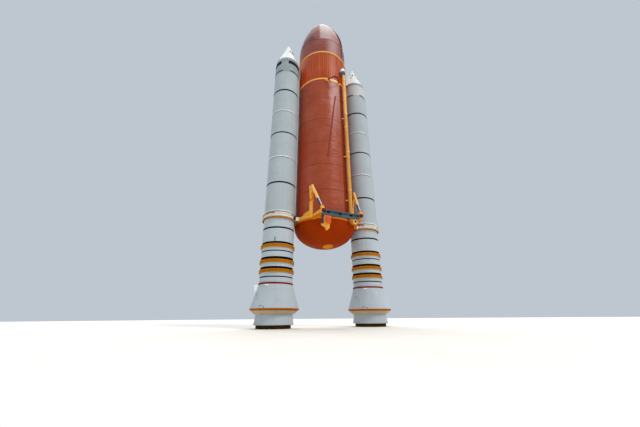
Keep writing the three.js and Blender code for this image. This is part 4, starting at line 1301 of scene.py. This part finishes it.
# The tube's pale silver is its lit side and the thin dark rod beside it its shaded side: painted
# light and painted shade
STRUT_PARTS = [
    # name, finish, from and to as shares of the way, rows of radius and share
    ("tube", SILVER, 0.53, 0.86, [(0.15, 0), (0.15, 1)]),
    ("painted_shade_side", SHADE_STEEL, 0.54, 0.85, [(0.12, 0), (0.12, 1)]),
    ("collar", YELLOW, 0.85, 0.975, [(0.18, 0), (0.23, 0.05), (0.23, 0.22), (0.20, 0.26),
                                     (0.20, 0.44), (0.23, 0.48), (0.23, 0.86), (0.15, 1)]),
    ("cuff", AMBER, 0.845, 0.875, [(0.238, 0), (0.238, 1)]),
]
HEAD_AT, HEAD_OUT, HEAD_Z = 43.5, 4.56, 17.28
SHADE_SHIFT = Vector((-0.085, -0.02, -0.02)) * HALF
for side, name in SIDES:
    strut = f"thrust_strut_{name}"
    ball = spot(side * BALL[0], BALL[1], BALL[2])
    head = on_wall(side * HEAD_AT, HEAD_OUT, HEAD_Z)
    trimmed(f"longeron_{name}", "beam", YELLOW, "yellow_paint", 0.035)
    # The upper tube's pale yellow is partly its paint and partly a painted highlight
    upper = rod(head, head.lerp(ball, 0.54), UPPER_STRUT)
    done(upper, f"{strut}_upper", PALE_YELLOW, "yellow_paint", strut)
    done(globe(head, 0.24, 14, 28), f"{strut}_knuckle", YELLOW, "yellow_paint")
    for what, finish, near, far, rows in STRUT_PARTS:
        shift = SHADE_SHIFT if what == "painted_shade_side" else ORIGIN
        part = rod(head.lerp(ball, near) + shift, head.lerp(ball, far) + shift, rows)
        done(part, f"{strut}_{what}", finish, "yellow_paint")
    trimmed(f"outrigger_{name}", "arm", YELLOW, "yellow_paint")
    done(globe(ball, 0.248, 20, 40), f"ball_{name}", MAROON, "maroon_paint", f"ball_fitting_{name}")


# %% Crossbeam, hanger and umbilical bracket
trimmed("crossbeam", "beam", SLATE, "slate_paint", 0.015, 40)
# The openings are thin near-black ovals on the beam's face: painted shade in its holes
OPENINGS, OPENING_Z, OPENING_WIDE, OPENING_TALL = (-2.0, -0.40, 1.08), 12.79, 0.25, 0.10
openings = []
for middle in OPENINGS:
    oval = [spot(middle + OPENING_WIDE * math.sin(a), -5.712, OPENING_Z + OPENING_TALL * math.cos(a))
            for a in heights(0, math.tau, 12)[:-1]]
    openings.append(slab(oval, Vector((0, -0.01, 0))))
done(join(*openings), "crossbeam_openings", HOLE_SHADE, "slate_paint")
end_plate = bevel(block((2.07, -5.903, 12.487), (2.143, -5.417, 13.053)), 0.01, 2)
done(end_plate, "crossbeam_end_plate", LINE_GREY, "slate_paint")
hanger = rod(spot(-2.73, -5.60, 12.52), spot(-2.38, -4.87, 11.64), [(0.115, 0), (0.115, 0.95)])
done(hanger, "crossbeam_hanger", LINE_GREY, "slate_paint")
trimmed("umbilical_bracket", "plate", YELLOW, "yellow_paint")
trimmed("umbilical_cover", "plate", RED, "red_paint")

# %% [markdown]
# ## Ties to the boosters
# A block near the top and two struts near the bottom tie each booster to the tank. They are
# angular, so their solids are taken over and only their edges are rounded.

# %% Struts between the boosters and the tank
for _, name in SIDES:
    for place in ("front", "rear"):
        trimmed(f"aft_strut_{place}_{name}", "bar", CONE_WHITE, "booster_white", 0.02, 50)
    trimmed(f"forward_fitting_{name}", "block", WHITE, "booster_white", 0.03, 40)
clevis = bevel(block((-5.02, -1.52, 12.86), (-4.74, -1.00, 13.40)), 0.02, 2)
done(clevis, "aft_strut_clevis", BLACK, "booster_white")
hook = bevel(block((-5.22, -1.40, 13.46), (-4.94, -1.10, 13.75)), 0.03, 2)
other_hook = mirror(copy(hook))
done(join(hook, other_hook), "attach_ring_hooks", AMBER, "booster_white")
print("pieces:", len(triangles))

# %% [markdown]
# ## Studio
# The rocket stands on a plain pale floor under a soft sky, which gives most of the light.
# A weak sun on the right throws the pipe's shadow and the tank's highlights, and another
# behind the rocket brightens the noses, as clouds do.

# %% Floor
FLOOR_RADIUS = 160
put_down()
bpy.ops.mesh.primitive_circle_add(vertices=64, radius=FLOOR_RADIUS, fill_type="NGON")
floor = bpy.context.object
floor.name = "floor"
floor_paint = bpy.data.materials.new("studio_floor")
floor_paint.use_nodes = True
floor_tree = floor_paint.node_tree
floor_place = node(floor_tree, "TexCoord").outputs["Object"]
floor_cloud = between(floor_tree, noise(floor_tree, floor_place, 0.35, 5.0), 0.3, 0.7)
floor_colour = blend(floor_tree, floor_cloud, tint("ece7de"), tint("f2eee6"))
floor_shader = floor_tree.nodes["Principled BSDF"]
floor_tree.links.new(floor_colour, floor_shader.inputs["Base Color"])
floor_shader.inputs["Roughness"].default_value = 0.9
floor.data.materials.append(floor_paint)
print("floor of radius", FLOOR_RADIUS, "m")

# %% Sky and suns
SUNS_AWAY = 40
world = bpy.data.worlds.new("soft_sky")
bpy.context.scene.world = world
world.use_nodes = True
sky = world.node_tree.nodes["Background"].inputs
sky["Color"].default_value = tint("d4dee8")
sky["Strength"].default_value = 0.78


def sun(name, energy, colour, azimuth, height, spread):
    """A sun that stands at an azimuth and a height above the horizon, all in degrees."""
    azimuth, height = math.radians(azimuth), math.radians(height)
    level = math.cos(height)
    toward = Vector((-math.sin(azimuth) * level, math.cos(azimuth) * level, -math.sin(height)))
    put_down()
    bpy.ops.object.light_add(type="SUN")
    made = bpy.context.object
    made.name = name
    made.data.energy = energy
    made.data.color = tint(colour)[:3]
    made.data.angle = math.radians(spread)
    made.location = -toward * SUNS_AWAY
    made.rotation_euler = toward.to_track_quat("-Z", "Y").to_euler()
    print("sun", name, "from", made.location[:])


sun("key", 1.4, "fff4ea", 27, 46, 16)
sun("clouds", 1.7, "ffffff", 160, 72, 40)
bpy.context.scene.view_settings.view_transform = "Standard"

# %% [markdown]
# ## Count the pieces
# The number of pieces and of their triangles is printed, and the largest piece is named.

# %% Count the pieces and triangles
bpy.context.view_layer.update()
print("pieces", len(triangles), "triangles", sum(triangles.values()))
print("largest", max(triangles, key=triangles.get))
